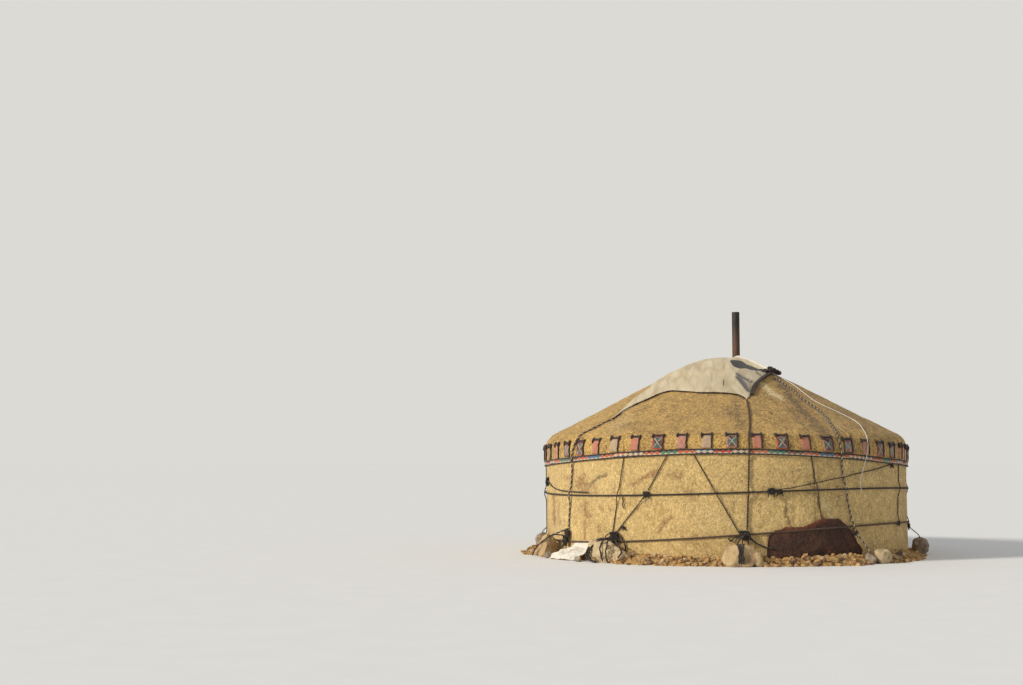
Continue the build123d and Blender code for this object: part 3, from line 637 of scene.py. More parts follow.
# Marks are strokes: both ends, width and strength
def stroke_share(u, v, stroke):
    """1 on the line of a stroke, falling to 0 at its width, for a place given in metres."""
    u0, v0, u1, v1, width = stroke
    du, dv = u1 - u0, v1 - v0
    share = ((u - u0) * du + (v - v0) * dv) / (du * du + dv * dv + 1e-9)
    share = min(1.0, max(0.0, share))
    away = hypot(u - u0 - share * du, v - v0 - share * dv)
    return max(0.0, 1 - away / width)


def marks_at(azimuth, height, radius, channels):
    """Strongest stroke of each channel at a place, with the strokes bent and frayed by noise."""
    place = spot(azimuth, radius, height)
    aside = waves(place, (0.75, 5, 31), (0.55, 14, 17))
    above = waves(place, (0.75, 5, 12), (0.55, 14, 44))
    marks = []
    for strokes in channels:
        best = 0.0
        for az0, z0, az1, z1, width, strength in strokes:
            near, far = radians(azimuth - az0) * radius, radians(az1 - az0) * radius
            if abs(near) <= abs(far) + 2 * width:
                fray = min(width, 0.12)
                stroke = (0.0, z0, far, z1, 1.25 * width)
                best = max(best, strength * stroke_share(near + fray * aside, height + fray * above, stroke))
        marks.append(best)
    return marks


# Wall felts
def wall_relief(point):
    """How far the outer face stands from its circle."""
    return waves(point, (0.0075, 1.1, 0), (0.006, 3.7, 5), (0.004, 13, 9)) - 0.006


# Creases: azimuth, low and high end, width, depth and lean
wall_creases = (
    (20.2, 0.52, 1.5, 0.020, 0.012, 0.0), (28.4, 0.60, 1.5, 0.022, 0.012, 1.5),
    (31.0, 0.62, 1.0, 0.030, -0.010, -4.0), (-16.6, 0.45, 0.76, 0.018, 0.007, 14.0),
    (-23.5, 1.15, 1.40, 0.020, 0.008, 30.0), (-40.2, 1.16, 1.36, 0.018, 0.010, 38.0),
    (110, 0.4, 1.4, 0.03, 0.010, 3.0), (-120, 0.4, 1.4, 0.03, 0.010, -3.0),
)
# Rust; dark wool and painted shade in creases and on the shaded right side; pale wool and painted highlights
# on raised folds; their ends by azimuth and height
wall_marks = (
    (
        (-66.5, 0.90, -65.5, 0.50, 0.16, 1.0), (-61.5, 0.86, -60.8, 0.55, 0.10, 0.8),
        (-49.5, 1.24, -44, 1.12, 0.20, 0.9), (-47, 1.08, -45, 1.0, 0.12, 0.7),
        (-46.5, 0.85, -43, 0.64, 0.16, 0.9), (-46.3, 0.60, -45.9, 0.32, 0.05, 1.0),
        (-39.2, 0.81, -38.6, 0.79, 0.06, 1.0), (-35.2, 0.82, -34.8, 0.80, 0.06, 1.0),
        (-39.6, 0.53, -39.6, 0.41, 0.06, 0.9), (-25.7, 0.80, -25.2, 0.78, 0.06, 0.9),
        (-27.3, 1.17, -19.8, 1.39, 0.07, 0.9), (-19.1, 0.47, -14.8, 0.73, 0.05, 0.9),
        (-15.3, 1.36, -12.3, 1.34, 0.12, 0.8), (-11.2, 1.12, -7.7, 0.99, 0.16, 0.65),
        (-9.6, 0.44, -4.5, 0.22, 0.20, 0.55), (-75, 0.24, -68.6, 0.14, 0.20, 1.3),
        (-30, 1.30, -26, 1.10, 0.20, 0.4), (-58, 1.30, -55, 1.20, 0.14, 0.7), (100, 0.9, 108, 0.6, 0.2, 0.7),
        (-130, 1.1, -124, 0.8, 0.2, 0.8), (150, 0.5, 156, 0.4, 0.2, 0.7),
    ),
    (
        (-43.4, 1.18, -37.1, 1.34, 0.045, 1.0), (-30.1, 0.97, -30.1, 0.82, 0.03, 1.0),
        (17.5, 0.95, 18.9, 0.56, 0.05, 0.9), (28.1, 1.0, 29.2, 0.66, 0.05, 1.0),
        (21.6, 1.40, 25.9, 1.15, 0.22, 0.62), (33, 1.3, 36, 0.9, 0.3, 0.40), (26, 1.55, 27, 1.25, 0.06, 0.7),
        (-90, 1.2, -86, 0.7, 0.2, 0.5), (170, 1.2, 168, 0.6, 0.2, 0.5),
    ),
    (
        (29.6, 0.94, 31.9, 0.68, 0.05, 1.0), (-60.5, 0.95, -60, 0.5, 0.10, 0.7),
        (-66, 0.45, -62, 0.40, 0.12, 0.7), (-6, 0.8, 4, 0.6, 0.5, 0.35), (-36, 1.0, -30, 0.6, 0.4, 0.3),
    ),
)
# Degrees left open at each end of a felt, and how finely a wall felt is divided
seam_gap = 0.01
wall_rows, wall_spacing = 72, 0.030


def wall_felt(name, start, end):
    def place(v, u):
        z = wall_top * v
        azimuth = start + seam_gap + (end - start - 2 * seam_gap) * u
        point = spot(azimuth, wall_radius, z)
        from_edge = radians(min(azimuth - start, end - azimuth)) * wall_radius
        lift = wall_relief(point) - 0.005 * (1 - smooth_step(0, 0.035, from_edge))
        for crease, low, high, width, depth, lean in wall_creases:
            middle = crease + lean * (z - (low + high) / 2) + 1.2 * wave(point, 1.4, 7)
            away = radians(azimuth - middle) * wall_radius
            if abs(away) < 4 * width:
                reach = smooth_step(low - 0.12, low + 0.08, z)
                reach *= 1 - smooth_step(high - 0.08, high + 0.12, z)
                lift -= depth * reach * exp(-((away / width) ** 2))
        front = spot(azimuth, wall_radius + max(-0.015, min(0.003, lift)), z)
        back = spot(azimuth, wall_radius - felt + 0.0005 * wave(point, 20), z)
        return front, back, marks_at(azimuth, z, wall_radius, wall_marks)

    width = radians(end - start) * wall_radius
    form = closed_sheet(even(wall_rows), even(ceil(width / wall_spacing) + 1), place)
    made = sheet_piece(name + "_cloth", form, wall_shade, name)


wall_seams = (-180 + jamb_azimuth, -78, 27, 100, 180 - jamb_azimuth)
for start, end, name in zip(wall_seams, wall_seams[1:], ["left_back", "front", "right_front", "right_back"]):
    wall_felt(f"wall_felt_{name}", start, end)


# Roof felts
def roof_relief(point, station):
    calm = smooth_step(1.72, 1.95, station)
    lift = waves(point, (0.008, 1.3, 2), (0.006, 4.5, 4), (0.006, 17, 6))
    return calm * (lift - 0.002) - 0.004 * (1 - calm)


# Rust; dark wool and painted shade on the shaded right side; pale wool and painted highlights on folds; their
# ends by azimuth and station
roof_marks = (
    (
        (-25.3, 2.06, -20.1, 1.99, 0.12, 0.8), (-30, 2.5, -22, 2.3, 0.3, 0.35), (60, 2.6, 70, 2.3, 0.3, 0.4),
        (-110, 2.7, -100, 2.4, 0.3, 0.6), (160, 2.6, 170, 2.4, 0.3, 0.6),
    ),
    (
        (5.5, 3.16, 6.0, 2.2, 0.16, 0.75), (2.2, 2.75, 2.8, 2.65, 0.20, 0.8),
        (-14, 2.6, -12.8, 2.58, 0.3, 0.45), (-28, 3.0, -20, 2.8, 0.35, 0.35),
        (49.5, 3.95, 38.7, 3.33, 0.14, 1.0), (38.7, 3.33, 34.0, 2.75, 0.20, 0.95),
        (34.0, 2.75, 31.5, 2.0, 0.22, 0.9), (28.5, 2.8, 28.0, 2.1, 0.16, 0.7), (24, 3.2, 22, 2.5, 0.16, 0.5),
        (30, 3.2, 33, 2.1, 0.9, 0.42), (55, 3.2, 60, 2.2, 0.9, 0.5), (18.5, 2.70, 18.7, 2.67, 0.05, 1.2),
        (43, 3.0, 41, 2.2, 0.12, 0.7), (120, 3.0, 118, 2.3, 0.3, 0.6), (-140, 3.0, -138, 2.4, 0.3, 0.6),
        (80, 3.4, 84, 2.4, 0.2, 0.5),
    ),
    ((28.5, 3.86, 30.3, 3.2, 0.10, 1.1), (-40, 2.5, -36, 2.1, 0.3, 0.5), (42.5, 2.7, 40, 2.15, 0.12, 0.6)),
)


roof_rows, roof_spacing = 92, 0.026


def roof_felt(name, start):
    arc = 90
    high = station_at(crown_radius + 0.01)

    def place(v, u):
        azimuth = start + seam_gap + (arc - 2 * seam_gap) * u
        low = band_middle(azimuth) - 0.02
        station = low + (high - low) * v
        radius = outline(station)[0]
        from_edge = radians(min(azimuth - start, start + arc - azimuth)) * radius
        lift = roof_relief(on_cover(azimuth, station), station)
        lift -= 0.006 * (1 - smooth_step(0, 0.04, from_edge))
        front = on_cover(azimuth, station, max(-0.014, min(0.006, lift)))
        turned = (azimuth + 180) % 360 - 180
        return front, on_cover(azimuth, station, -felt), marks_at(turned, station, radius, roof_marks)

    form = closed_sheet(even(roof_rows), even(ceil(radians(arc) * 2.4 / roof_spacing) + 1), place)
    made = sheet_piece(name + "_cloth", form, roof_shade, name)
    area = round(outer_area(*form[:2]) / 1.04, 2)


for start, name in zip((-50, 40, 130, 220), ["front", "right", "back", "left"]):
    roof_felt(f"roof_felt_{name}", start)

# Crown cover, one draped sheet round the pipe
crown_inner = crown_radius - 0.08
crown_top = roof_height(crown_radius) + 0.02
slat_top = cover_top - 0.014
slat_sag = slat_top - (crown_top - 0.008)
dome_radius = (crown_inner**2 + slat_sag**2) / (2 * slat_sag)
dome_centre = slat_top - dome_radius
cover_leave = crown_radius + 0.14


def cover_height(radius, lift):
    """Height of the cover over a distance from the axis: felts, crown edge, then dome."""
    if radius >= cover_leave:
        return roof_height(radius, lift)
    edge = (crown_radius + 0.001 + lift * sin(radians(29)), crown_top + 0.001 + lift * cos(radians(29)))
    if radius >= edge[0]:
        share = (radius - edge[0]) / (cover_leave - edge[0])
        return edge[1] + (roof_height(cover_leave, lift) - edge[1]) * share
    reach = dome_radius + 0.005 + lift
    rise = edge[1] - dome_centre
    angle = atan2(edge[0], rise) - acos(reach / hypot(edge[0], rise))
    if radius <= reach * sin(angle):
        return dome_centre + sqrt(reach**2 - radius**2)
    share = (radius - reach * sin(angle)) / (edge[0] - reach * sin(angle))
    top = dome_centre + reach * cos(angle)
    return top + (edge[1] - top) * share


cover_outline = [
    (-1.750, -1.700), (-1.590, -1.510), (-1.410, -1.385), (-1.205, -1.350), (-1.000, -1.262),
    (-0.810, -1.295), (-0.620, -1.440), (-0.350, -1.590), (0.280, -1.678), (0.385, -1.810), (0.436, -1.685),
    (0.473, -1.381), (0.613, -1.008), (0.787, -0.496), (0.950, 0.300), (1.120, 0.950), (1.480, 1.480),
    (0.900, 1.180), (0, 1.120), (-0.900, 1.180), (-1.500, 1.500), (-1.230, 0.900), (-1.110, 0.300),
    (-1.110, -0.250), (-1.200, -0.700), (-1.400, -0.890), (-1.570, -1.290),
]
vent_outline = [
    (0.150, 0.360), (0.150, 0.110), (0.300, -0.020), (0.660, -0.110), (0.620, 0.110), (0.370, 0.360),
]
middle_x, middle_y = 0.380, 0.130


def reach_to(corners, angle):
    """Distance from the cover's middle to an outline in that direction."""
    dx, dy = cos(angle), sin(angle)
    best = None
    moved = [(x - middle_x, y - middle_y) for x, y in corners]
    for (x0, y0), (x1, y1) in zip(moved, moved[1:] + moved[:1]):
        ex, ey = x1 - x0, y1 - y0
        cross = dx * ey - dy * ex
        if abs(cross) < 1e-12:
            continue
        far = (x0 * ey - y0 * ex) / cross
        share = (x0 * dy - y0 * dx) / cross
        if far > 0 and -1e-9 <= share <= 1 + 1e-9 and (best is None or far > best):
            best = far
    return best


# Folds of the cover as strokes seen from above, the first without their widths. The hollow and the shaded
# folds also carry painted shade, the turned fold a painted highlight.
turned_fold = [
    (0.300, -0.200, 0.480, -0.270), (0.480, -0.270, 0.640, -0.390), (0.640, -0.390, 0.750, -0.500),
    (0.760, -0.250, 0.900, -0.330),
]
hollow = [
    (0.265, -0.480, 0.300, -0.620, 0.19), (0.300, -0.560, 0.500, -0.630, 0.17),
    (0.500, -0.630, 0.640, -0.610, 0.09),
]
shaded_folds = [
    (0.255, -1.000, 0.470, -1.200, 0.07), (0.270, -1.110, 0.340, -1.300, 0.10),
    (0.340, -1.300, 0.425, -1.540, 0.09), (0.640, -0.170, 0.760, -0.360, 0.07),
    (0.560, -0.800, 0.640, -0.860, 0.035),
]


def strongest(x, y, strokes):
    return max(stroke_share(x, y, stroke) for stroke in strokes)


def cover_folds(x, y):
    """Height of the folds that run down from the crown, and of the slats under the sheet."""
    radius, around = hypot(x, y), atan2(y, x)
    radial = 0.013 * ripple(4.2 * around, 0.8 * radius, 1.5)
    finer = 0.007 * ripple(11 * around, 1.3 * radius, 8.5)
    folds = smooth_step(0.25, 1.1, radius) * (radial + finer) + 0.004 * wave(Vector((x, y, 0)), 6, 3)
    if radius < 0.9:
        from_slats = min(abs(place - middle) for middle in (-0.165, 0, 0.165) for place in (x, y))
        folds += 0.005 * exp(-((from_slats / 0.03) ** 2)) - 0.006
    crest = strongest(x, y, [(*ends, 0.17) for ends in turned_fold])
    dip = strongest(x, y, hollow)
    valley = strongest(x, y, shaded_folds)
    folds += 0.010 * smooth_step(0.0, 0.35, valley) - 0.018 * smooth_step(0.35, 1.0, valley)
    return max(-0.002, 0.006 + folds * (1 - dip)) + 0.062 * smooth_step(0.0, 1.0, crest) - 0.004 * dip


def cover_marks(x, y):
    """Painted shade in the hollow beside the pipe and on shaded folds below it, and a painted highlight on
    the edge turned over.
    """
    # Painted shade in the hollow beside the pipe
    hollow_shade = strongest(x, y, hollow)
    # The crest of the turned edge carries a painted highlight
    crest = strongest(x, y, [(*ends, 0.085) for ends in turned_fold])
    shaded = smooth_step(0.02, 0.10, x - 0.185 - 0.16 * (-y - 0.54)) * smooth_step(0.5, 0.62, -y)
    dark = max(0.16 * shaded, smooth_step(0.2, 0.7, strongest(x, y, shaded_folds)))
    return (smooth_step(0.15, 0.5, hollow_shade) if hollow_shade > 0.8 * crest else 0.0, dark, smooth_step(0, 0.5, crest))


def cover_place(share, angle):
    near, far = reach_to(vent_outline, angle), reach_to(cover_outline, angle)
    here = near + (far - near) * share
    x, y = middle_x + here * cos(angle), middle_y + here * sin(angle)
    folds = cover_folds(x, y) * (0.35 + 0.65 * smooth_step(0, 0.05, far - here))
    front, back = [Vector((x, y, cover_height(hypot(x, y), lift + folds))) for lift in (0.0058, 0.0008)]
    return front, back, cover_marks(x, y)


corner_angles = [atan2(y - middle_y, x - middle_x) for x, y in cover_outline]
ray_count, ring_count = 340, 56
rays = [2 * pi * step / ray_count - pi for step in range(ray_count)]
rays = sorted([*rays, *corner_angles, *[angle + 0.004 for angle in corner_angles]])
form = closed_sheet([share**1.25 for share in even(ring_count)], rays, cover_place, around=True)
crown_cloth = sheet_piece("crown_cover_cloth", form, canvas_shade, "crown_cover")
round(outer_area(*form[:2]) / 1.03, 2)

# Woven band: rows of diamonds in changing colours between two dark cords
orange, green, blue, navy = (0.60, 0.11, 0.035), (0.02, 0.22, 0.12), (0.05, 0.17, 0.30), (0.05, 0.06, 0.11)
scarlet, brown = (0.55, 0.03, 0.025), (0.20, 0.10, 0.06)
band_groups = [
    (scarlet, cream, black), (cream, navy, brown), (orange, cream, brown), (green, cream, navy),
    (brown, cream, black), (orange, cream, navy), (blue, cream, navy), (orange, cream, black),
    (cream, navy, orange), (cream, brown, navy), (orange, cream, black), (green, cream, black),
    (orange, cream, brown), (cream, navy, blue),
]
cell_count, cells_in_group = 210, 3
cell_angle = 360 / cell_count
half = band_height / 2
edge = half - 0.019


def band_spot(azimuth, across, lift):
    point = spot(azimuth, band_inner, band_middle(azimuth) + across)
    bulge = waves(point, (0.0018, 2.2, 3), (0.001, 9, 4))
    return spot(azimuth, band_inner + lift + bulge, point.z + 0.0035 * wave(point, 1.9, 8))


heap, colours = Heap(), []
for index in range(cell_count):
    left = (index - 1.5) * cell_angle
    right = left + cell_angle
    low, mid, high = [
        [band_spot(azimuth, across, lift) for azimuth in (left, left + cell_angle / 2, right)]
        for across, lift in ((-edge, 0.0042), (0, 0.0048), (edge, 0.0042))
    ]
    diamond = [(0, 1, 3), (1, 2, 5), (1, 5, 4), (1, 4, 3), (3, 4, 7), (4, 5, 7), (3, 7, 6), (5, 8, 7)]
    heap.take([*low, *mid, *high], diamond)
    main, under, over = band_groups[(index // cells_in_group) % len(band_groups)]
    colours += [under, under, main, main, main, main, over, over]
    ends = (left, right)
    lows, highs = [[band_spot(azimuth, across, 0.0005) for azimuth in ends] for across in (-half, half)]
    back = [band_spot(*place, 0.0) for place in ((left, -half), (right, -half), (right, half), (left, half))]
    sides = [(0, 1, 2, 3, 4), (9, 8, 7, 6, 5), (13, 12, 11, 10), (10, 11, 1, 0), (12, 13, 5, 6)]
    heap.take([*lows, *reversed(low), *highs, *reversed(high), *back], sides)
    colours += [black] * 5
band = heap.build("woven_band_strap", band_shade, "woven_wool", ["woven_band"], smooth=False)
layer = band.data.color_attributes.new("pattern", "FLOAT_COLOR", "CORNER")
for polygon in band.data.polygons:
    for corner in polygon.loop_indices:
        layer.data[corner].color = (*colours[polygon.index], 1)
heap = Heap()
for across in (-half + 0.0095, half - 0.0095):
    line = [band_spot(azimuth, across, 0.0050) for azimuth in range(0, 361, 2)]
    heap.rope(line, 0.0100, 2, spacing=0.024, lay=14)
heap.build("band_cords", rope_dark, "hair_rope")

# Sewn panels with their rolled woolly edges, each of one of six kinds
panel_order = {
    40: 5, 41: 2, 42: 5, 43: 4, 44: 0, 45: 1, 46: 0, 47: 4, 48: 2, 49: 1,
    0: 3, 1: 0, 2: 4, 3: 0, 4: 3, 5: 5, 6: 2,
}
panel_widths = (0.135, 0.148, 0.142, 0.164, 0.176, 0.160)
panel_count, panel_first = 50, 2.6
cloth_length, roll_overhang = 0.209, 0.022
cloths, rolls, edges, cloth_uvs = Heap(), Heap(), Heap(), []


def sewn_panel(index, kind):
    azimuth = panel_first + 360 / panel_count * index
    width = panel_widths[kind]
    foot = band_middle(azimuth) + band_height / 2 + 0.010
    slant = random.Random(index).uniform(-0.5, 0.5)

    def cloth_place(v, u):
        turned = azimuth + degrees((u - 0.5) * width / roof_radius) + slant * (v - 0.5) * 0.3
        station = foot + cloth_length * v
        pucker = 0.0022 * wave(on_cover(turned, station), 16, index) + 0.002 * sin(9 * u + index) * (1 - v)
        front = on_cover(turned, station, 0.0052 + max(-0.002, pucker))
        return front, on_cover(turned, station, 0.0012), (u, v)

    points, faces, uvs = closed_sheet(even(11), even(8), cloth_place)
    cloths.take(points, faces, kind)
    cloth_uvs.extend(uvs + uvs)
    made = []
    rows, around = 21, 10
    for u in [2 * share - 1 for share in even(rows)]:
        ends = exp(-((abs(u) - 0.80) ** 2) / 0.025)
        swell = 0.52 + (1.05 + 0.5 * slant * u) * ends if abs(u) < 0.99 else 0.5
        along = azimuth + degrees(u * (width / 2 + roll_overhang) / roof_radius)
        for turn in [2 * pi * step / around for step in range(around)]:
            shaggy = swell * (1 + 0.6 * ripple(7 * u + index * 3, 2.4 * cos(turn), 2.4 * sin(turn)))
            station = foot + cloth_length + 0.012 - 0.012 * u * slant
            station += 0.0300 * shaggy * sin(turn) - 0.007 * ends
            made.append(on_cover(along, station, max(0.0004, 0.0150 + 0.0140 * shaggy * cos(turn))))
    rolls.take(made, tube_faces(rows, around))
    side = azimuth + degrees((width / 2 + 0.003) / roof_radius)
    heights = [foot + cloth_length * (1 - share) for share in even(6)]
    line = [on_cover(side + 0.12 * sin(2.5 * step + index), z, 0.010) for step, z in enumerate(heights)]
    edges.rope(line, 0.0120, spacing=0.015, loose=0.4)


for index in range(panel_count):
    sewn_panel(index, panel_order.get(index, (index * 7 + 3) % len(panel_shades)))
panels = cloths.build("sewn_panel_cloths", panel_shades, "panel_cloth", ["sewn_panels"])
layer = panels.data.uv_layers.new(name="cloth")
for loop in panels.data.loops:
    layer.data[loop.index].uv = cloth_uvs[loop.vertex_index]
rolls.build("panel_roll_wool", binding_shade, "dark_wool", ["panel_rolls"])
edges.build("panel_edge_cords", binding_shade, "dark_wool")

# Ropes round the wall and over the roof
girth_rope, thick_rope, thin_rope = 0.015, 0.016, 0.010
middle_heights, low_heights = (1.045, 0.020, 0.035, 0.035), (0.400, 0.030, 0.130, 0.050)
rope_gap = 0.0006
wall_seat = wall_radius - roof_radius + rope_gap
band_seat = 0.008
girth_reach = 0.004 + 2 * girth_rope


def girth_height(azimuth, base, cosine, sine, double):
    turn = radians(azimuth)
    return base + cosine * cos(turn) + sine * sin(turn) + double * sin(2 * turn)


def rope_seat(azimuth, station, crosses_band):
    """How far a rope's inner side stands from the roof felt's outer face, as in the solids."""
    point = on_cover(azimuth, station)
    seat = wall_seat + min(0.0, wall_relief(point) + 0.002)
    if crosses_band:
        low = band_middle(azimuth) - band_height / 2
        high = low + band_height
        seat += (band_seat - seat) * slope(station, low - 0.060, low - 0.010)
        seat += (0.003 - seat) * slope(station, high + 0.015, high + 0.060)
        seat += (rope_gap - seat) * slope(station, slope_start - 0.020, slope_start + 0.060)
        if station > 2.0:
            seat += min(0.0, roof_relief(point, station))
    for girth in (middle_heights, low_heights):
        away = abs(station - girth_height(azimuth, *girth))
        seat = max(seat, wall_seat + girth_reach * (1 - slope(away, 0.030, 0.105)))
    return seat


def stepped(corners, steps_between):
    """Places along the straight runs between corners."""
    places = []
    for start, end in zip(corners, corners[1:]):
        count = steps_between(start, end)
        for share in [step / count for step in range(count)]:
            places.append([a + (b - a) * share for a, b in zip(start, end)])
    return [*places, corners[-1]]


def rope_steps(start, end):
    return max(2, round(abs(end[1] - start[1]) / 0.03), round(abs(end[0] - start[0])))


def rope_path(corners, radius, crosses_band=True, crossings=()):
    """Line of a rope through corners given by azimuth and station, raised where it crosses others."""
    points = []
    for azimuth, station in stepped(corners, rope_steps):
        lift = rope_seat(azimuth, station, crosses_band) + 0.92 * radius
        for crossing, rise in crossings:
            lift += rise * (1 - slope(abs(azimuth - crossing), 0.6, 2.6))
        points.append(on_cover(azimuth, station, lift))
    return points


def softened(points):
    for _ in range(2):
        inside = [(a + 2 * b + c) / 4 for a, b, c in zip(points, points[1:], points[2:])]
        points = [points[0], *inside, points[-1]]
    return points


girth_end = 180 - jamb_azimuth - 0.8
heap = Heap()
for kind, heights, seat in ((0, middle_heights, 0.0004), (1, low_heights, 0.0058)):
    line = []
    for share in even(241):
        azimuth = girth_end * (2 * share - 1)
        z = girth_height(azimuth, *heights)
        sunk = min(0.0, 0.6 * wall_relief(spot(azimuth, wall_radius, z)) + 0.001)
        over_hide = kind == 1 and 10 < azimuth < 46
        line.append(spot(azimuth, wall_radius + seat + 0.95 * girth_rope + (0.0 if over_hide else sunk), z))
    ends = [Vector((side * 0.445, 2.980, point.z)) for side, point in ((-1, line[0]), (1, line[-1]))]
    heap.rope([ends[0], *line, ends[1]], girth_rope, 3, (kind, kind, kind), spacing=0.0165, lay=8)
heap.build("girth_rope_strands", [rope_dark, rope_brown], "hair_rope", ["girth_ropes"])

# Stones by azimuth: width, depth and height
stone_radius = wall_radius + 0.215
stone_sizes = {
    -65: (0.330, 0.300, 0.330),
    -37: (0.520, 0.300, 0.350),
    5: (0.470, 0.290, 0.300),
    42.5: (0.190, 0.180, 0.150),
    90: (0.360, 0.260, 0.260),
    130: (0.420, 0.280, 0.300),
    -140: (0.400, 0.280, 0.300),
    -100: (0.340, 0.260, 0.260),
}
# The photograph's places of three stones, a little aside of their solids
seen_azimuths = {-65: -61.5, -37: -33.8, 5: 3.8}


def down_to_stone(corners, radius, stone, crosses_band=True):
    """Line of a rope through corners and down into the top of its stone."""
    seen, top = seen_azimuths.get(stone, stone), stone_sizes[stone][2]
    aside, above = (2.2, 0.02) if stone == -65 else (0, 0.060)
    down = [spot(seen + aside, stone_radius - 0.03, top + above), spot(seen, stone_radius, top - 0.010)]
    return softened(rope_path(corners, radius, crosses_band)) + down


heap = Heap()
# Stone, azimuth and distance from the axis at the cover's edge, and the route down from there
for stone, azimuth, radius, route in (
    (-65, -45.9, 2.462, [(-47.3, 2.3), (-49.3, 1.99), (-51.4, 1.65), (-53.3, 0.9), (-54.2, 0.47)]),
    (5, 11.7, 1.885, [(10.3, 2.7), (8.6, 2.2), (7.4, 1.9), (7.2, 1.4), (6.5, 0.5)]),
    (42.5, 53.3, 1.080, [(44, 3.26), (42.8, 2.75), (38.2, 2.28), (35.2, 1.9), (36.3, 1.33), (40, 0.5)]),
    (130, 135, 2.130, [(132, 2.4), (130, 2.2), (128.4, 1.9), (128.4, 1.33), (129, 0.5)]),
    (-140, -135, 2.160, [(-139, 2.4), (-143, 2.2), (-145, 1.9), (-144.5, 1.33), (-142, 0.5)]),
):
    line = down_to_stone([(azimuth, station_at(radius)), *route], thick_rope, stone)
    heap.rope(line, thick_rope, 2, (0, 2) if stone == 5 else (0, 1), spacing=0.016, lay=5.5)
heap.build("anchor_rope_strands", [rope_dark, rope_pale, rope_brown], "hair_rope", ["anchor_ropes"])


# Thin ties on the wall
def band_foot(azimuth):
    return azimuth, band_middle(azimuth) - band_height / 2 - 0.004


def tucked(points, last=True):
    """The same path with its first end, and its last one if wanted, turned in to the wall felt."""
    ends = [spot(degrees(atan2(p.x, -p.y)), wall_radius - 0.004, p.z) for p in (points[0], points[-1])]
    return [ends[0], *points, ends[1]] if last else [ends[0], *points]


tie_routes = [
    [band_foot(-30), (-34.1, 0.450)],
    [band_foot(-16.1), (-21.8, 1.110)],
    [band_foot(-8.2), (4.2, 0.480)],
    [band_foot(25.8), (28.7, 0.700)],
]
side_ties = ((66, 64), (110, 108), (150, 148), (-78, -76), (-118, -120), (-158, -160))
for top, foot in side_ties:
    tie_routes.append([band_foot(top), (foot, girth_height(foot, *low_heights) + girth_rope + 0.002)])
stone_ties = [
    ([(-23.2, 0.990), (-32.4, 0.470)], -37),
    ([band_foot(92), (90.5, 0.460)], 90),
    ([band_foot(-98), (-99.5, 0.460)], -100),
]
rise_route = [(14.5, 1.112), (19.1, 1.140), (28.6, 1.230), (43.5, 1.360), (53.2, 1.430), band_foot(59.5)]
rise_crossings = [(27.7, 2 * thin_rope + 0.002), (36.7, 2 * thick_rope + 0.002)]
paths = [tucked(softened(rope_path(route, thin_rope, False)), route[-1][1] > 0.6) for route in tie_routes]
paths += [tucked(down_to_stone(route, thin_rope, stone, False), False) for route, stone in stone_ties]
paths.append(tucked(rope_path(rise_route, thin_rope, False, rise_crossings)))
heap = Heap()
for path in paths:
    heap.rope(path, thin_rope, 2, spacing=0.013, lay=8)
heap.build("tie_rope_strands", rope_dark, "hair_rope", ["tie_ropes"])

# Pull cord of the crown cover, loose on the roof and hanging down the wall
cord_points = [Vector((0.8221, -0.4997, 2.9814)), Vector((0.8369, -0.4579, 2.9873))]
for azimuth, station, lift in (
    (64.0, 4.170, 0.014), (65.4, 4.118, 0.010), (65.6, 4.030, 0.009), (64.5, 3.890, 0.009),
    (61.4, 3.750, 0.009), (58.3, 3.630, 0.009), (55.8, 3.500, 0.009), (53.5, 3.365, 0.009),
    (51.8, 3.220, 0.009), (51.4, 3.070, 0.009), (52.6, 2.930, 0.009), (54.3, 2.800, 0.009),
    (55.3, 2.655, 0.009), (55.9, 2.510, 0.009), (55.2, 2.370, 0.009), (53.1, 2.240, 0.010),
    (50.5, 2.125, 0.014), (48.5, 2.010, 0.022), (47.1, 1.895, 0.030), (46.4, 1.780, 0.030),
    (45.9, 1.665, 0.024), (45.1, 1.555, 0.024), (44.2, 1.450, 0.024), (43.4, 1.350, 0.024),
    (42.7, 1.255, 0.024), (42.6, 1.160, 0.025), (43.1, 1.070, 0.026),
):
    cord_points.append(on_cover(azimuth, station, lift))
cord_curve = bpy.data.curves.new("pull_cord_line", "CURVE")
cord_curve.dimensions = "3D"
cord_curve.bevel_depth = 0.006
cord_curve.bevel_resolution = 3
cord_curve.use_fill_caps = True
spline = cord_curve.splines.new("NURBS")
spline.points.add(len(cord_points) - 1)
for control, place in zip(spline.points, cord_points):
    control.co = (*place, 1)
spline.order_u = 3
spline.use_endpoint_u = True
spline.resolution_u = 8
cord_curve.materials.append(cord_shade)
pull_cord = bpy.data.objects.new("pull_cord_line", cord_curve)
scene.collection.objects.link(pull_cord)
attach(pull_cord, "root")
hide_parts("pull_cord")

# Knots where the ropes meet: azimuth, height, distance from the axis, size and turns
knots = [
    (-22.4, 1.045, 3.024, 0.056, 5), (-33, 0.40, 3.045, 0.085, 7), (-33.6, 0.33, 3.075, 0.080, 7),
    (-34.0, 0.27, 3.11, 0.065, 6), (5.9, 0.44, 3.050, 0.090, 8), (13.5, 1.100, 3.024, 0.062, 5),
    (16.0, 1.085, 3.022, 0.045, 4), (-30.3, 0.53, 3.022, 0.028, 3), (-54.2, 0.40, 3.045, 0.060, 6),
    (-54.6, 0.31, 3.065, 0.064, 6), (-54.4, 0.23, 3.085, 0.052, 5), (90.5, 0.47, 3.040, 0.05, 4),
    (129, 0.46, 3.045, 0.06, 5), (-142, 0.46, 3.045, 0.06, 5), (-99.5, 0.46, 3.040, 0.05, 4),
    (59.8, 1.47, 3.028, 0.03, 3), (40.3, 0.46, 3.045, 0.05, 4),
]
knots += [(foot, girth_height(foot, *low_heights), 3.026, 0.034, 4) for _, foot in side_ties]
heap = Heap()
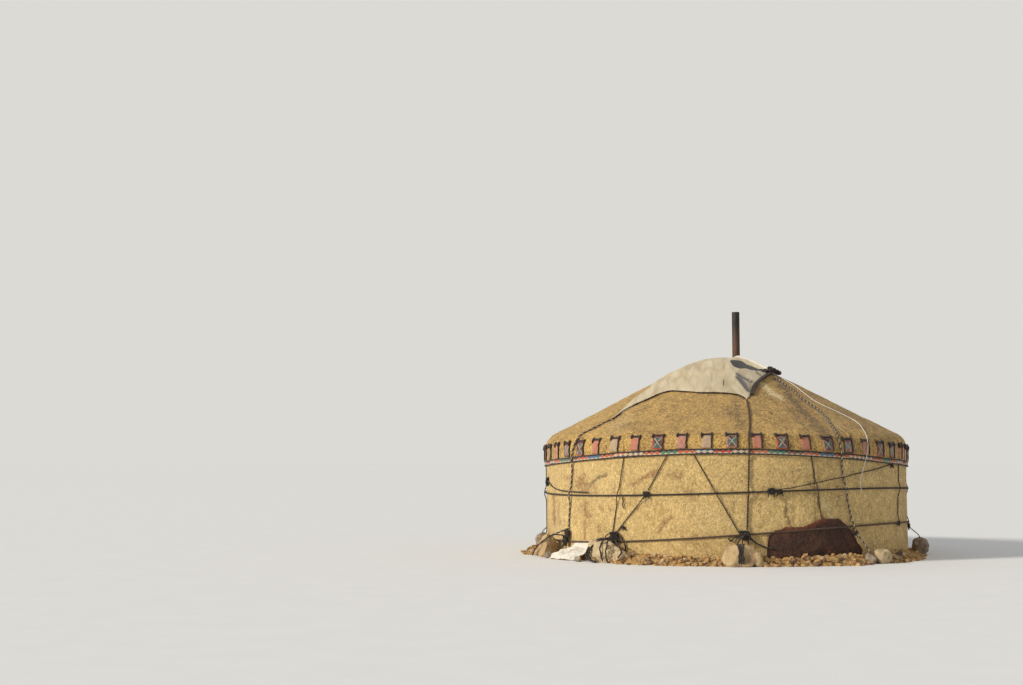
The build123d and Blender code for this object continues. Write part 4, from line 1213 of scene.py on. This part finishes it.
for number, (azimuth, z, radius, size, turns) in enumerate(knots):
    line = knot_line(spot(azimuth, radius, z), outward(azimuth), size, turns, number)
    heap.rope(line, 0.0125, spacing=0.016, lay=8)
    for side in (-1, 1):
        start, aside = spot(azimuth + side * 0.5, radius, z), azimuth + side * 90
        drops = [spot(azimuth, 0.012, -0.03), spot(aside, 0.012, -0.5 * size), spot(aside, 0.02, -1.5 * size)]
        heap.rope([start, *[start + drop for drop in drops]], 0.009, spacing=0.011, lay=8)
# Slack ends: one sagging from the left edge of the wall, others below the knots
for radius, route in (
    (0.011, [(-73, 1.20), (-69.5, 1.17), (-66, 1.11), (-60, 1.07), (-52, 1.052), (-44, 1.050)]),
    (0.010, [(-30.5, 0.99), (-30.0, 0.93), (-30.4, 0.88), (-29.9, 0.82)]),
    (0.012, [(-31, 0.40), (-29.8, 0.30), (-29.4, 0.20), (-30.2, 0.12)]),
    (0.012, [(1.2, 0.40), (2.0, 0.36), (3.0, 0.41), (4.5, 0.43)]),
    (0.014, [(7.0, 0.43), (9.0, 0.33), (11.5, 0.27), (13.5, 0.25)]),
):
    line = []
    for step, (azimuth, z) in enumerate(route):
        line.append(spot(azimuth, wall_radius + 0.016 + radius * (0.3 + 0.9 * (step % 2)), z))
    heap.rope(line, radius, spacing=0.014, lay=8)
for step in range(3):
    line = knot_line(spot(-74.0, 3.020, 1.16 + 0.035 * step), outward(-74), 0.05, 3, 90 + step)
    heap.rope(line, 0.011, spacing=0.013, lay=8)
heap.build("rope_knots", rope_dark, "hair_rope")


# Dark edging of the crown cover
def edge_steps(start, end):
    return ceil(hypot(end[0] - start[0], end[1] - start[1]) / 0.06)


def edge_path(plan, radius):
    """Line of the edging through a plan, on the roof felts."""
    return [Vector((x, y, roof_height(hypot(x, y), 0.0008 + radius))) for x, y in stepped(plan, edge_steps)]


binding_plan = [
    (-1.735, -1.737), (-1.583, -1.533), (-1.406, -1.408), (-1.200, -1.373), (-1.000, -1.286),
    (-0.815, -1.318), (-0.630, -1.462), (-0.354, -1.612), (0.280, -1.701), (0.345, -1.800),
]
rolled_plan = [(0.462, -1.680), (0.504, -1.386), (0.645, -1.000), (0.822, -0.500)]
heap = Heap()
heap.rope(softened(edge_path(binding_plan, 0.012)), 0.013, spacing=0.013, loose=0.4)
heap.rope(softened(edge_path(rolled_plan, 0.022)), 0.024, spacing=0.017, loose=0.4, lay=6)
for shift in (0.022, -0.020):
    line = [p + Vector((shift, 0, 0.012)) for p in edge_path(rolled_plan, 0.022)]
    heap.rope(softened(line[:-2]), 0.012, spacing=0.014, loose=0.4, lay=8)
for x, y, size, lift, number in (
    (0.720, -0.610, 0.050, 0.040, 76), (0.795, -0.515, 0.060, 0.045, 77), (0.810, -0.490, 0.055, 0.080, 78),
    (0.870, -0.420, 0.060, 0.065, 79), (0.925, -0.370, 0.058, 0.060, 80),
):
    knob = Vector((x, y, roof_height(hypot(x, y), lift)))
    heap.rope(knot_line(knob, Vector((0.5, -0.3, 0.8)), size, 6, number), 0.017, spacing=0.015)
heap.build("cover_edging_wool", binding_shade, "dark_wool", ["cover_edging"])


# Stones, clods and the bank of earth
def rock(centre, along, size, seed, detail, block, rough, cuts, slant=0.0, lean=0.0):
    """A stone from a ball, squared off, cut by a few flat faces and roughened.

    Slant makes it taller towards its right-hand end, lean shifts its top that way.
    """
    ball = bmesh.new()
    bmesh.ops.create_icosphere(ball, subdivisions=detail, radius=1)
    chance = random.Random(seed)
    planes = []
    for _ in range(cuts):
        facing = Vector((chance.gauss(0, 1), chance.gauss(0, 1), chance.gauss(0, 0.8))).normalized()
        planes.append((facing, chance.uniform(0.66, 0.95)))
    out = Vector((-along.y, along.x, 0))
    points = []
    for vertex in ball.verts:
        p = Vector([abs(c) ** block * (1 if c > 0 else -1) for c in vertex.co])
        for facing, depth in planes:
            beyond = p.dot(facing) - depth
            if beyond > 0:
                p -= facing * beyond * 0.94
        bump = noise.noise(p * 2.1 + Vector((seed, 0, 0))) + 0.4 * noise.noise(p * 6.3 + Vector((0, seed, 0)))
        p *= 1 + rough * (bump + 0.22 * noise.noise(p * 15 + Vector((0, 0, seed))))
        p.z *= 1 + slant * p.x
        p.x += lean * p.z
        place = centre + along * (p.x * size[0] / 2) + out * (p.y * size[1] / 2)
        place.z = max(0.0, place.z + p.z * size[2] / 2)
        points.append(place)
    faces = [tuple(v.index for v in face.verts) for face in ball.faces]
    ball.free()
    return points, faces


# Azimuth: material, squareness, number of cuts, roughness, slant, lean
stone_looks = {
    -65: (0, 0.72, 8, 0.20, 0.42, 0.22),
    -37: (1, 0.80, 11, 0.30, -0.16, -0.10),
    5: (0, 0.60, 6, 0.08, -0.04, 0.03),
    42.5: (2, 0.85, 10, 0.15, 0.0, 0.0),
    90: (2, 0.80, 10, 0.14, 0.1, 0.0),
    130: (2, 0.85, 12, 0.16, -0.1, 0.0),
    -140: (0, 0.85, 12, 0.16, 0.1, 0.0),
    -100: (2, 0.80, 10, 0.14, 0.0, 0.1),
}
heap = Heap()
for azimuth, (width, depth, height) in stone_sizes.items():
    kind, block, cuts, rough, slant, lean = stone_looks[azimuth]
    detail = 5 if azimuth in seen_azimuths else 4
    size = (1.06 * width, 1.04 * depth, 1.16 * height)
    seen = seen_azimuths.get(azimuth, azimuth)
    centre = spot(seen, stone_radius, height * 0.46)
    stone = rock(centre, rightward(seen), size, azimuth * 1.7, detail, block, rough, cuts, slant, lean)
    heap.take(*stone, kind)
# Loose stones: azimuth, distance from the axis, size, seed, material, squareness, roughness
for azimuth, radius, size, seed, kind, block, rough in (
    (46.4, 3.255, (0.300, 0.240, 0.235), 50, 1, 0.72, 0.12),
    (-29.0, 3.23, (0.22, 0.19, 0.22), 61, 1, 0.8, 0.2), (-26.9, 3.20, (0.13, 0.12, 0.15), 62, 0, 0.8, 0.2),
    (8.6, 3.23, (0.16, 0.15, 0.24), 63, 0, 0.7, 0.14), (-40.9, 3.38, (0.14, 0.10, 0.09), 64, 2, 0.8, 0.2),
    (-55.6, 3.33, (0.17, 0.13, 0.10), 65, 2, 0.85, 0.2), (53.5, 3.25, (0.12, 0.11, 0.10), 66, 2, 0.8, 0.2),
    (-66.6, 3.27, (0.16, 0.14, 0.12), 67, 0, 0.85, 0.2),
):
    centre = spot(azimuth, radius, size[2] * 0.42)
    heap.take(*rock(centre, outward(azimuth + 80), size, seed, 4, block, rough, 8), kind)
heap.build("anchor_stone_rocks", [stone_tan, stone_pale, stone_grey], "field_stone", ["anchor_stones"])

# Rope wound round the boulders
heap = Heap()
for azimuth, shift, tilt, radius in (
    (-37, 0.060, -0.25, 0.014), (-37, 0.110, 0.20, 0.013), (5, -0.025, 0.20, 0.016), (5, 0.020, 0.05, 0.016),
    (5, 0.075, -0.20, 0.014),
):
    _, depth, height = stone_sizes[azimuth]
    seen = seen_azimuths[azimuth]
    line = []
    for step in range(17):
        turn = radians(-96 + 190 * step / 16)
        slant = tilt * height * 0.5 * cos(turn) * (1 if step < 8 else 0.6)
        side = shift + slant + 0.012 * ripple(0.6 * step, shift, 3)
        level = max(radius + 0.003, height * (0.5 - 0.57 * sin(turn)))
        reach = depth / 2 * 1.06 * cos(turn)
        line.append(spot(seen, stone_radius, level) + rightward(seen) * side + outward(seen) * reach)
    heap.rope(line, radius, spacing=0.016, lay=7)
# Loop from the left boulder's knot down to the ground, and one at its right
for radius, route in (
    (0.020, [
        (-33.6, 3.10, 0.34), (-35.6, 3.22, 0.35), (-37.2, 3.33, 0.25), (-37.8, 3.385, 0.14),
        (-36.8, 3.41, 0.05), (-34.2, 3.43, 0.022),
    ]),
    (0.019, [
        (-33.2, 3.12, 0.36), (-34.8, 3.26, 0.34), (-36.3, 3.36, 0.24), (-36.9, 3.395, 0.13),
        (-35.9, 3.415, 0.045), (-34.0, 3.43, 0.02),
    ]),
    (0.015, [(-31.4, 3.16, 0.34), (-28.6, 3.28, 0.27), (-27.2, 3.33, 0.18), (-28.0, 3.36, 0.09)]),
    (0.013, [
        (-54.6, 3.10, 0.36), (-57.0, 3.22, 0.36), (-60.0, 3.33, 0.25), (-62.6, 3.385, 0.13),
        (-64.4, 3.40, 0.02),
    ]),
):
    heap.rope([spot(*place) for place in route], radius, spacing=0.018, lay=7)
heap.build("stone_lashings", rope_dark, "hair_rope")

# The bank of earth and clods: heaps between the stones, by azimuth and size
bank_heaps = []
for index in range(34):
    azimuth = -165 + 10 * index
    gaps = [abs(azimuth - at) - degrees(size[0] / 2 / stone_radius) for at, size in stone_sizes.items()]
    if min(gaps) > 5.2 and abs(azimuth + 50.5) > 10.7:
        bank_heaps.append((azimuth, 1 + 0.22 * sin(2.3 * index)))
bank_heaps.append((-50.5, 1.0))


def bank_size(azimuth):
    """How large the bank is there: full in the middle of a heap, low between heaps."""
    best = max(size * (1 - smooth_step(4.6, 8.5, abs(azimuth - middle))) for middle, size in bank_heaps)
    return max(0.42 if -80 < azimuth < 60 else 0.28, best)


def bank_rise(share):
    """Height of the earth over the distance from the wall, both as shares."""
    return 0.86 * (1 - share) ** 1.1 + 0.14 * sin(pi * share)


def bank_place(share, azimuth):
    size = bank_size(azimuth)
    toe = 1 + waves(spot(azimuth, 3, 0), (0.20, 2.6, 2), (0.10, 9, 3))
    lumps = waves(spot(azimuth, wall_radius + share, 0), (0.034, 7, 2), (0.022, 19, 3), (0.010, 40, 4))
    level = 0.142 * size * bank_rise(share) + lumps * smooth_step(0, 0.15, 1 - share)
    top = spot(azimuth, wall_radius - 0.003 + 0.310 * size * share * toe, max(0.0, level))
    return top, Vector((top.x, top.y, 0.0))


bank_end = 169.5
bank_rows = (0.0, 0.08, 0.18, 0.3, 0.42, 0.54, 0.66, 0.78, 0.88, 0.95, 1.0)
bank_columns = [bank_end * (2 * share - 1) for share in even(round(2 * bank_end / 0.45) + 1)]
form = closed_sheet(bank_rows, bank_columns, bank_place)
sheet_piece("bank_earth", form, earth_shade, "foot_bank")

clod_count = 3400
heaps = [Heap(), Heap()]
for number in range(clod_count):
    azimuth = rng.uniform(-167, 167) if number % 3 == 0 else rng.uniform(-80, 62)
    size = bank_size(azimuth)
    share = rng.random() ** 0.8 * 1.16
    big = 0.011 + 0.036 * rng.random() ** 2.4
    turn = rng.uniform(0, 2 * pi)
    shape = [big * 2 * rng.uniform(low, high) for low, high in ((0.8, 1.5), (0.7, 1.2), (0.6, 1.1))]
    kind = rng.choice((0, 0, 0, 0, 1, 1, 1, 2, 3, 3))
    patchy = ripple(azimuth * 0.35, 0, 4)
    radius = wall_radius + 0.015 + big * 0.6 + (0.295 * size - big) * share
    under_cloth = -53.5 < azimuth < -39.5 and radius < 3.32
    if under_cloth or rng.random() > 0.50 + 1.1 * patchy:
        continue
    level = max(big * 0.35, 0.142 * size * bank_rise(min(1.0, share)) + big * 0.25)
    along = Vector((cos(turn), sin(turn), 0))
    clod = rock(spot(azimuth, radius, level), along, shape, number, 1 if big < 0.028 else 2, 0.85, 0.5, 9)
    heaps[number % 2].take(*clod, kind)
clod_shades = [clod_shade, earth_shade, stone_pale, clod_dark]
for number, heap in enumerate(heaps):
    heap.build(f"bank_clods_{number + 1}", clod_shades, "clods", smooth=False)

# Cloth over the bank, crumpled in code
cloth_azimuth, cloth_width = -47.0, 0.64
cloth_spacing = 0.010
cloth_section = [
    (3.003, 0.262), (3.010, 0.170), (3.102, 0.138), (3.250, 0.078), (3.335, 0.020), (3.372, 0.006),
]
cloth_line = smoothed([Vector((r, 0, z)) for r, z in cloth_section], cloth_spacing)


def foot_cloth_place(row, share):
    down, here = row
    u = share - 0.5
    place = Vector((5.5 * u + 1.6 * down, 2.2 * down - 1.2 * u, 2))
    ridges = 1 - abs(2.6 * noise.noise(place)) - 0.5 * abs(noise.noise(place * 2.7 + Vector((3, 1, 0))))
    fold = 0.052 * max(0.0, ridges) * smooth_step(0.0, 0.2, down)
    fold += 0.012 * noise.noise(place * 3.4) + 0.005 * noise.noise(place * 8)
    fold = max(0.0, fold * (1 - 0.6 * smooth_step(0.9, 1.0, down)))
    drift = 0.020 * ripple(3 * down, 6 * u, 9) + 0.20 * (down - 0.5)
    reach = here.x + 0.035 * ripple(4 * u, 0, 6) * down - 0.05 * smooth_step(0.1, 0.5, u) * down
    high = here.z + (0.045 * u + 0.015 * ripple(7 * u, 0, 1)) * (1 - down)
    base = spot(cloth_azimuth, reach, high) + rightward(cloth_azimuth) * (u * cloth_width - drift)
    inside = (wall_radius + 0.004) / hypot(base.x, base.y)
    if down < 0.25 and inside > 1:
        base.x *= inside
        base.y *= inside
    out = outward(cloth_azimuth)
    back = base + out * (0.5 * fold) + Vector((0, 0, 0.85 * fold))
    return back + out * 0.0020 + Vector((0, 0, 0.0026)), back


form = closed_sheet(list(zip(even(len(cloth_line)), cloth_line)), even(81), foot_cloth_place)
foot_cloth = sheet_piece("foot_cloth_sheet", form, cloth_shade, "foot_cloth")

# Hide over the foot of the wall, its upper edge by azimuth and height
hide_edge = [
    (12, 0.175), (12.5, 0.430), (14.5, 0.510), (17.4, 0.560), (22.9, 0.560), (28.4, 0.680), (34.5, 0.680),
    (38.9, 0.500), (43.5, 0.175),
]


def hide_top(azimuth):
    for (a0, z0), (a1, z1) in zip(hide_edge, hide_edge[1:]):
        if a0 <= azimuth <= a1:
            return z0 + (z1 - z0) * (azimuth - a0) / (a1 - a0)


def hide_place(v, u):
    azimuth = 12.05 + 31.4 * u
    place = spot(azimuth, wall_radius, 0)
    high = max(0.178, hide_top(azimuth) + waves(place, (0.016, 9, 4), (0.010, 31, 6)))
    low = 0.085 - 0.04 * max(0.0, wave(place, 4, 2))
    z = low + (high - low) * v
    bulk = 0.009 + waves(spot(azimuth, wall_radius, z), (0.009, 5, 1), (0.009, 16, 2))
    # Dip along a fold, which the hide's material paints black as shade
    shaded_dip = stroke_share(radians(azimuth - 34.5) * wall_radius, z, (0, 0.56, 0.24, 0.16, 0.022))
    bulk += 0.012 * smooth_step(0.88, 0.98, v) - 0.008 * shaded_dip
    front = spot(azimuth, wall_radius + 0.0055 + max(0.0, bulk), z)
    back = spot(azimuth, wall_radius + 0.0006 + 0.5 * max(0.0, bulk - 0.006), z)
    rim = 1 - smooth_step(0.03, 0.10, high - z)
    return front, back, (rim * smooth_step(14, 17, azimuth) * (1 - smooth_step(28, 32, azimuth)), shaded_dip, 0.0)


form = closed_sheet(even(36), even(110), hide_place)
hide = sheet_piece("foot_hide_skin", form, hide_shade, "foot_hide")

# Rolled door flap and its straps
flap_radius, flap_length, flap_gap = 0.080, 1.0, 0.0112
flap_turns, layer_step, layer_thickness = 3.6, 0.0195, 0.013
flap_y = roof_radius + flap_gap + flap_radius
flap_z = band_middle(180) - band_height / 2 + 0.008


def flap_place(turned, along):
    angle = 2 * pi * flap_turns * turned
    x = flap_length * (along - 0.5)
    radius = (0.010 + layer_step * flap_turns * turned) * (1 + 0.035 * ripple(3 * x, angle * 0.25, 1))
    radius *= min(1.0, 0.0785 / (radius + 1e-6))
    if along in (0, 1):
        x += 0.012 * ripple(angle, 3, 0)
    radii = (radius, radius - layer_thickness)
    return [Vector((x, flap_y + r * cos(angle), flap_z + r * sin(angle))) for r in radii]


form = closed_sheet(even(131), even(33), flap_place)
sheet_piece("door_flap_felt", form, flap_shade, "door_flap")
heap, strap_reach = Heap(), 0.0835
for x in [offset + shift for offset in (-0.33, 0, 0.33) for shift in (-0.007, 0.007)]:
    turns = [radians(angle) for angle in range(0, 361, 15)]
    line = [Vector((x, flap_y + strap_reach * cos(a), flap_z + strap_reach * sin(a))) for a in turns]
    heap.rope(line, 0.006, spacing=0.010, lay=8)
heap.build("flap_strap_ropes", rope_dark, "hair_rope", ["flap_straps"])

# Reeds of the screen inside the felts, thick and thin by turns
reed_radius, reed_spacing = 2.9776, 0.0112
section = (360 - 2 * jamb_azimuth) / 6
reed_count = round(radians(section) * 2.977 / reed_spacing)


def reed_place(z, reed):
    azimuth, half_width = reed
    return spot(azimuth, reed_radius + half_width, z), spot(azimuth, reed_radius - half_width, z)


heap = Heap()
for index in range(6):
    start = 180 + jamb_azimuth + index * section + 0.02
    places = [start + (section - 0.04) * share for share in even(2 * reed_count + 1)]
    reeds = [(azimuth, 0.0036 if step % 2 else 0.0012) for step, azimuth in enumerate(places)]
    heap.take(*closed_sheet((0.0, 0.75, 1.5), reeds, reed_place)[:2])
heap.build("reed_screen_stems", reed_shade, "reed", ["reed_screen"], smooth=False)

# Materials of the solids that stay
for node, shade in {
    **{f"trellis_{i}": lath_shade for i in range(1, 7)},
    **{f"roof_poles_{n}": pole_shade for n in ("front_right", "back_right", "back_left", "front_left")},
    **{f"door_{n}": frame_shade for n in ("jambs", "threshold", "lintel")},
    "crown_ring": crown_shade,
    "crown_slats": crown_shade,
    "stove_pipe": pipe_shade,
}.items():
    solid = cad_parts[node]
    solid.data.materials.clear()
    solid.data.materials.append(shade)

# Floor, backdrop colour and light
floor_mesh = bpy.data.meshes.new("floor")
floor_mesh.from_pydata([(-150, -60, 0), (150, -60, 0), (150, 240, 0), (-150, 240, 0)], [], [(0, 1, 2, 3)])
floor = bpy.data.objects.new("floor", floor_mesh)
scene.collection.objects.link(floor)
s = Shade("floor", 0.95)
s.colour = s.noise(2.0, 3).ramp((0.3, (0.80, 0.79, 0.77)), (0.7, (0.82, 0.81, 0.79)))
floor_mesh.materials.append(s.finish())

world = bpy.data.worlds.new("sky")
scene.world = world
world.use_nodes = True
tree = world.node_tree
tree.nodes.clear()


def background(colour, strength):
    made = tree.nodes.new("ShaderNodeBackground")
    made.inputs["Color"].default_value = (*colour, 1)
    made.inputs["Strength"].default_value = strength
    return made.outputs[0]


camera_rays = tree.nodes.new("ShaderNodeLightPath")
both = tree.nodes.new("ShaderNodeMixShader")
final_out = tree.nodes.new("ShaderNodeOutputWorld")
tree.links.new(camera_rays.outputs["Is Camera Ray"], both.inputs[0])
tree.links.new(background((0.96, 0.98, 1.0), 0.50), both.inputs[1])
tree.links.new(background((0.715, 0.700, 0.665), 1.0), both.inputs[2])
tree.links.new(both.outputs[0], final_out.inputs[0])

sun_data = bpy.data.lights.new("sun", "SUN")
sun_data.energy = 3.0
sun_data.angle = radians(9)
sun_data.color = (1.0, 0.95, 0.86)
sun = bpy.data.objects.new("sun", sun_data)
sun.rotation_euler = (radians(65), 0, radians(-57))
scene.collection.objects.link(sun)
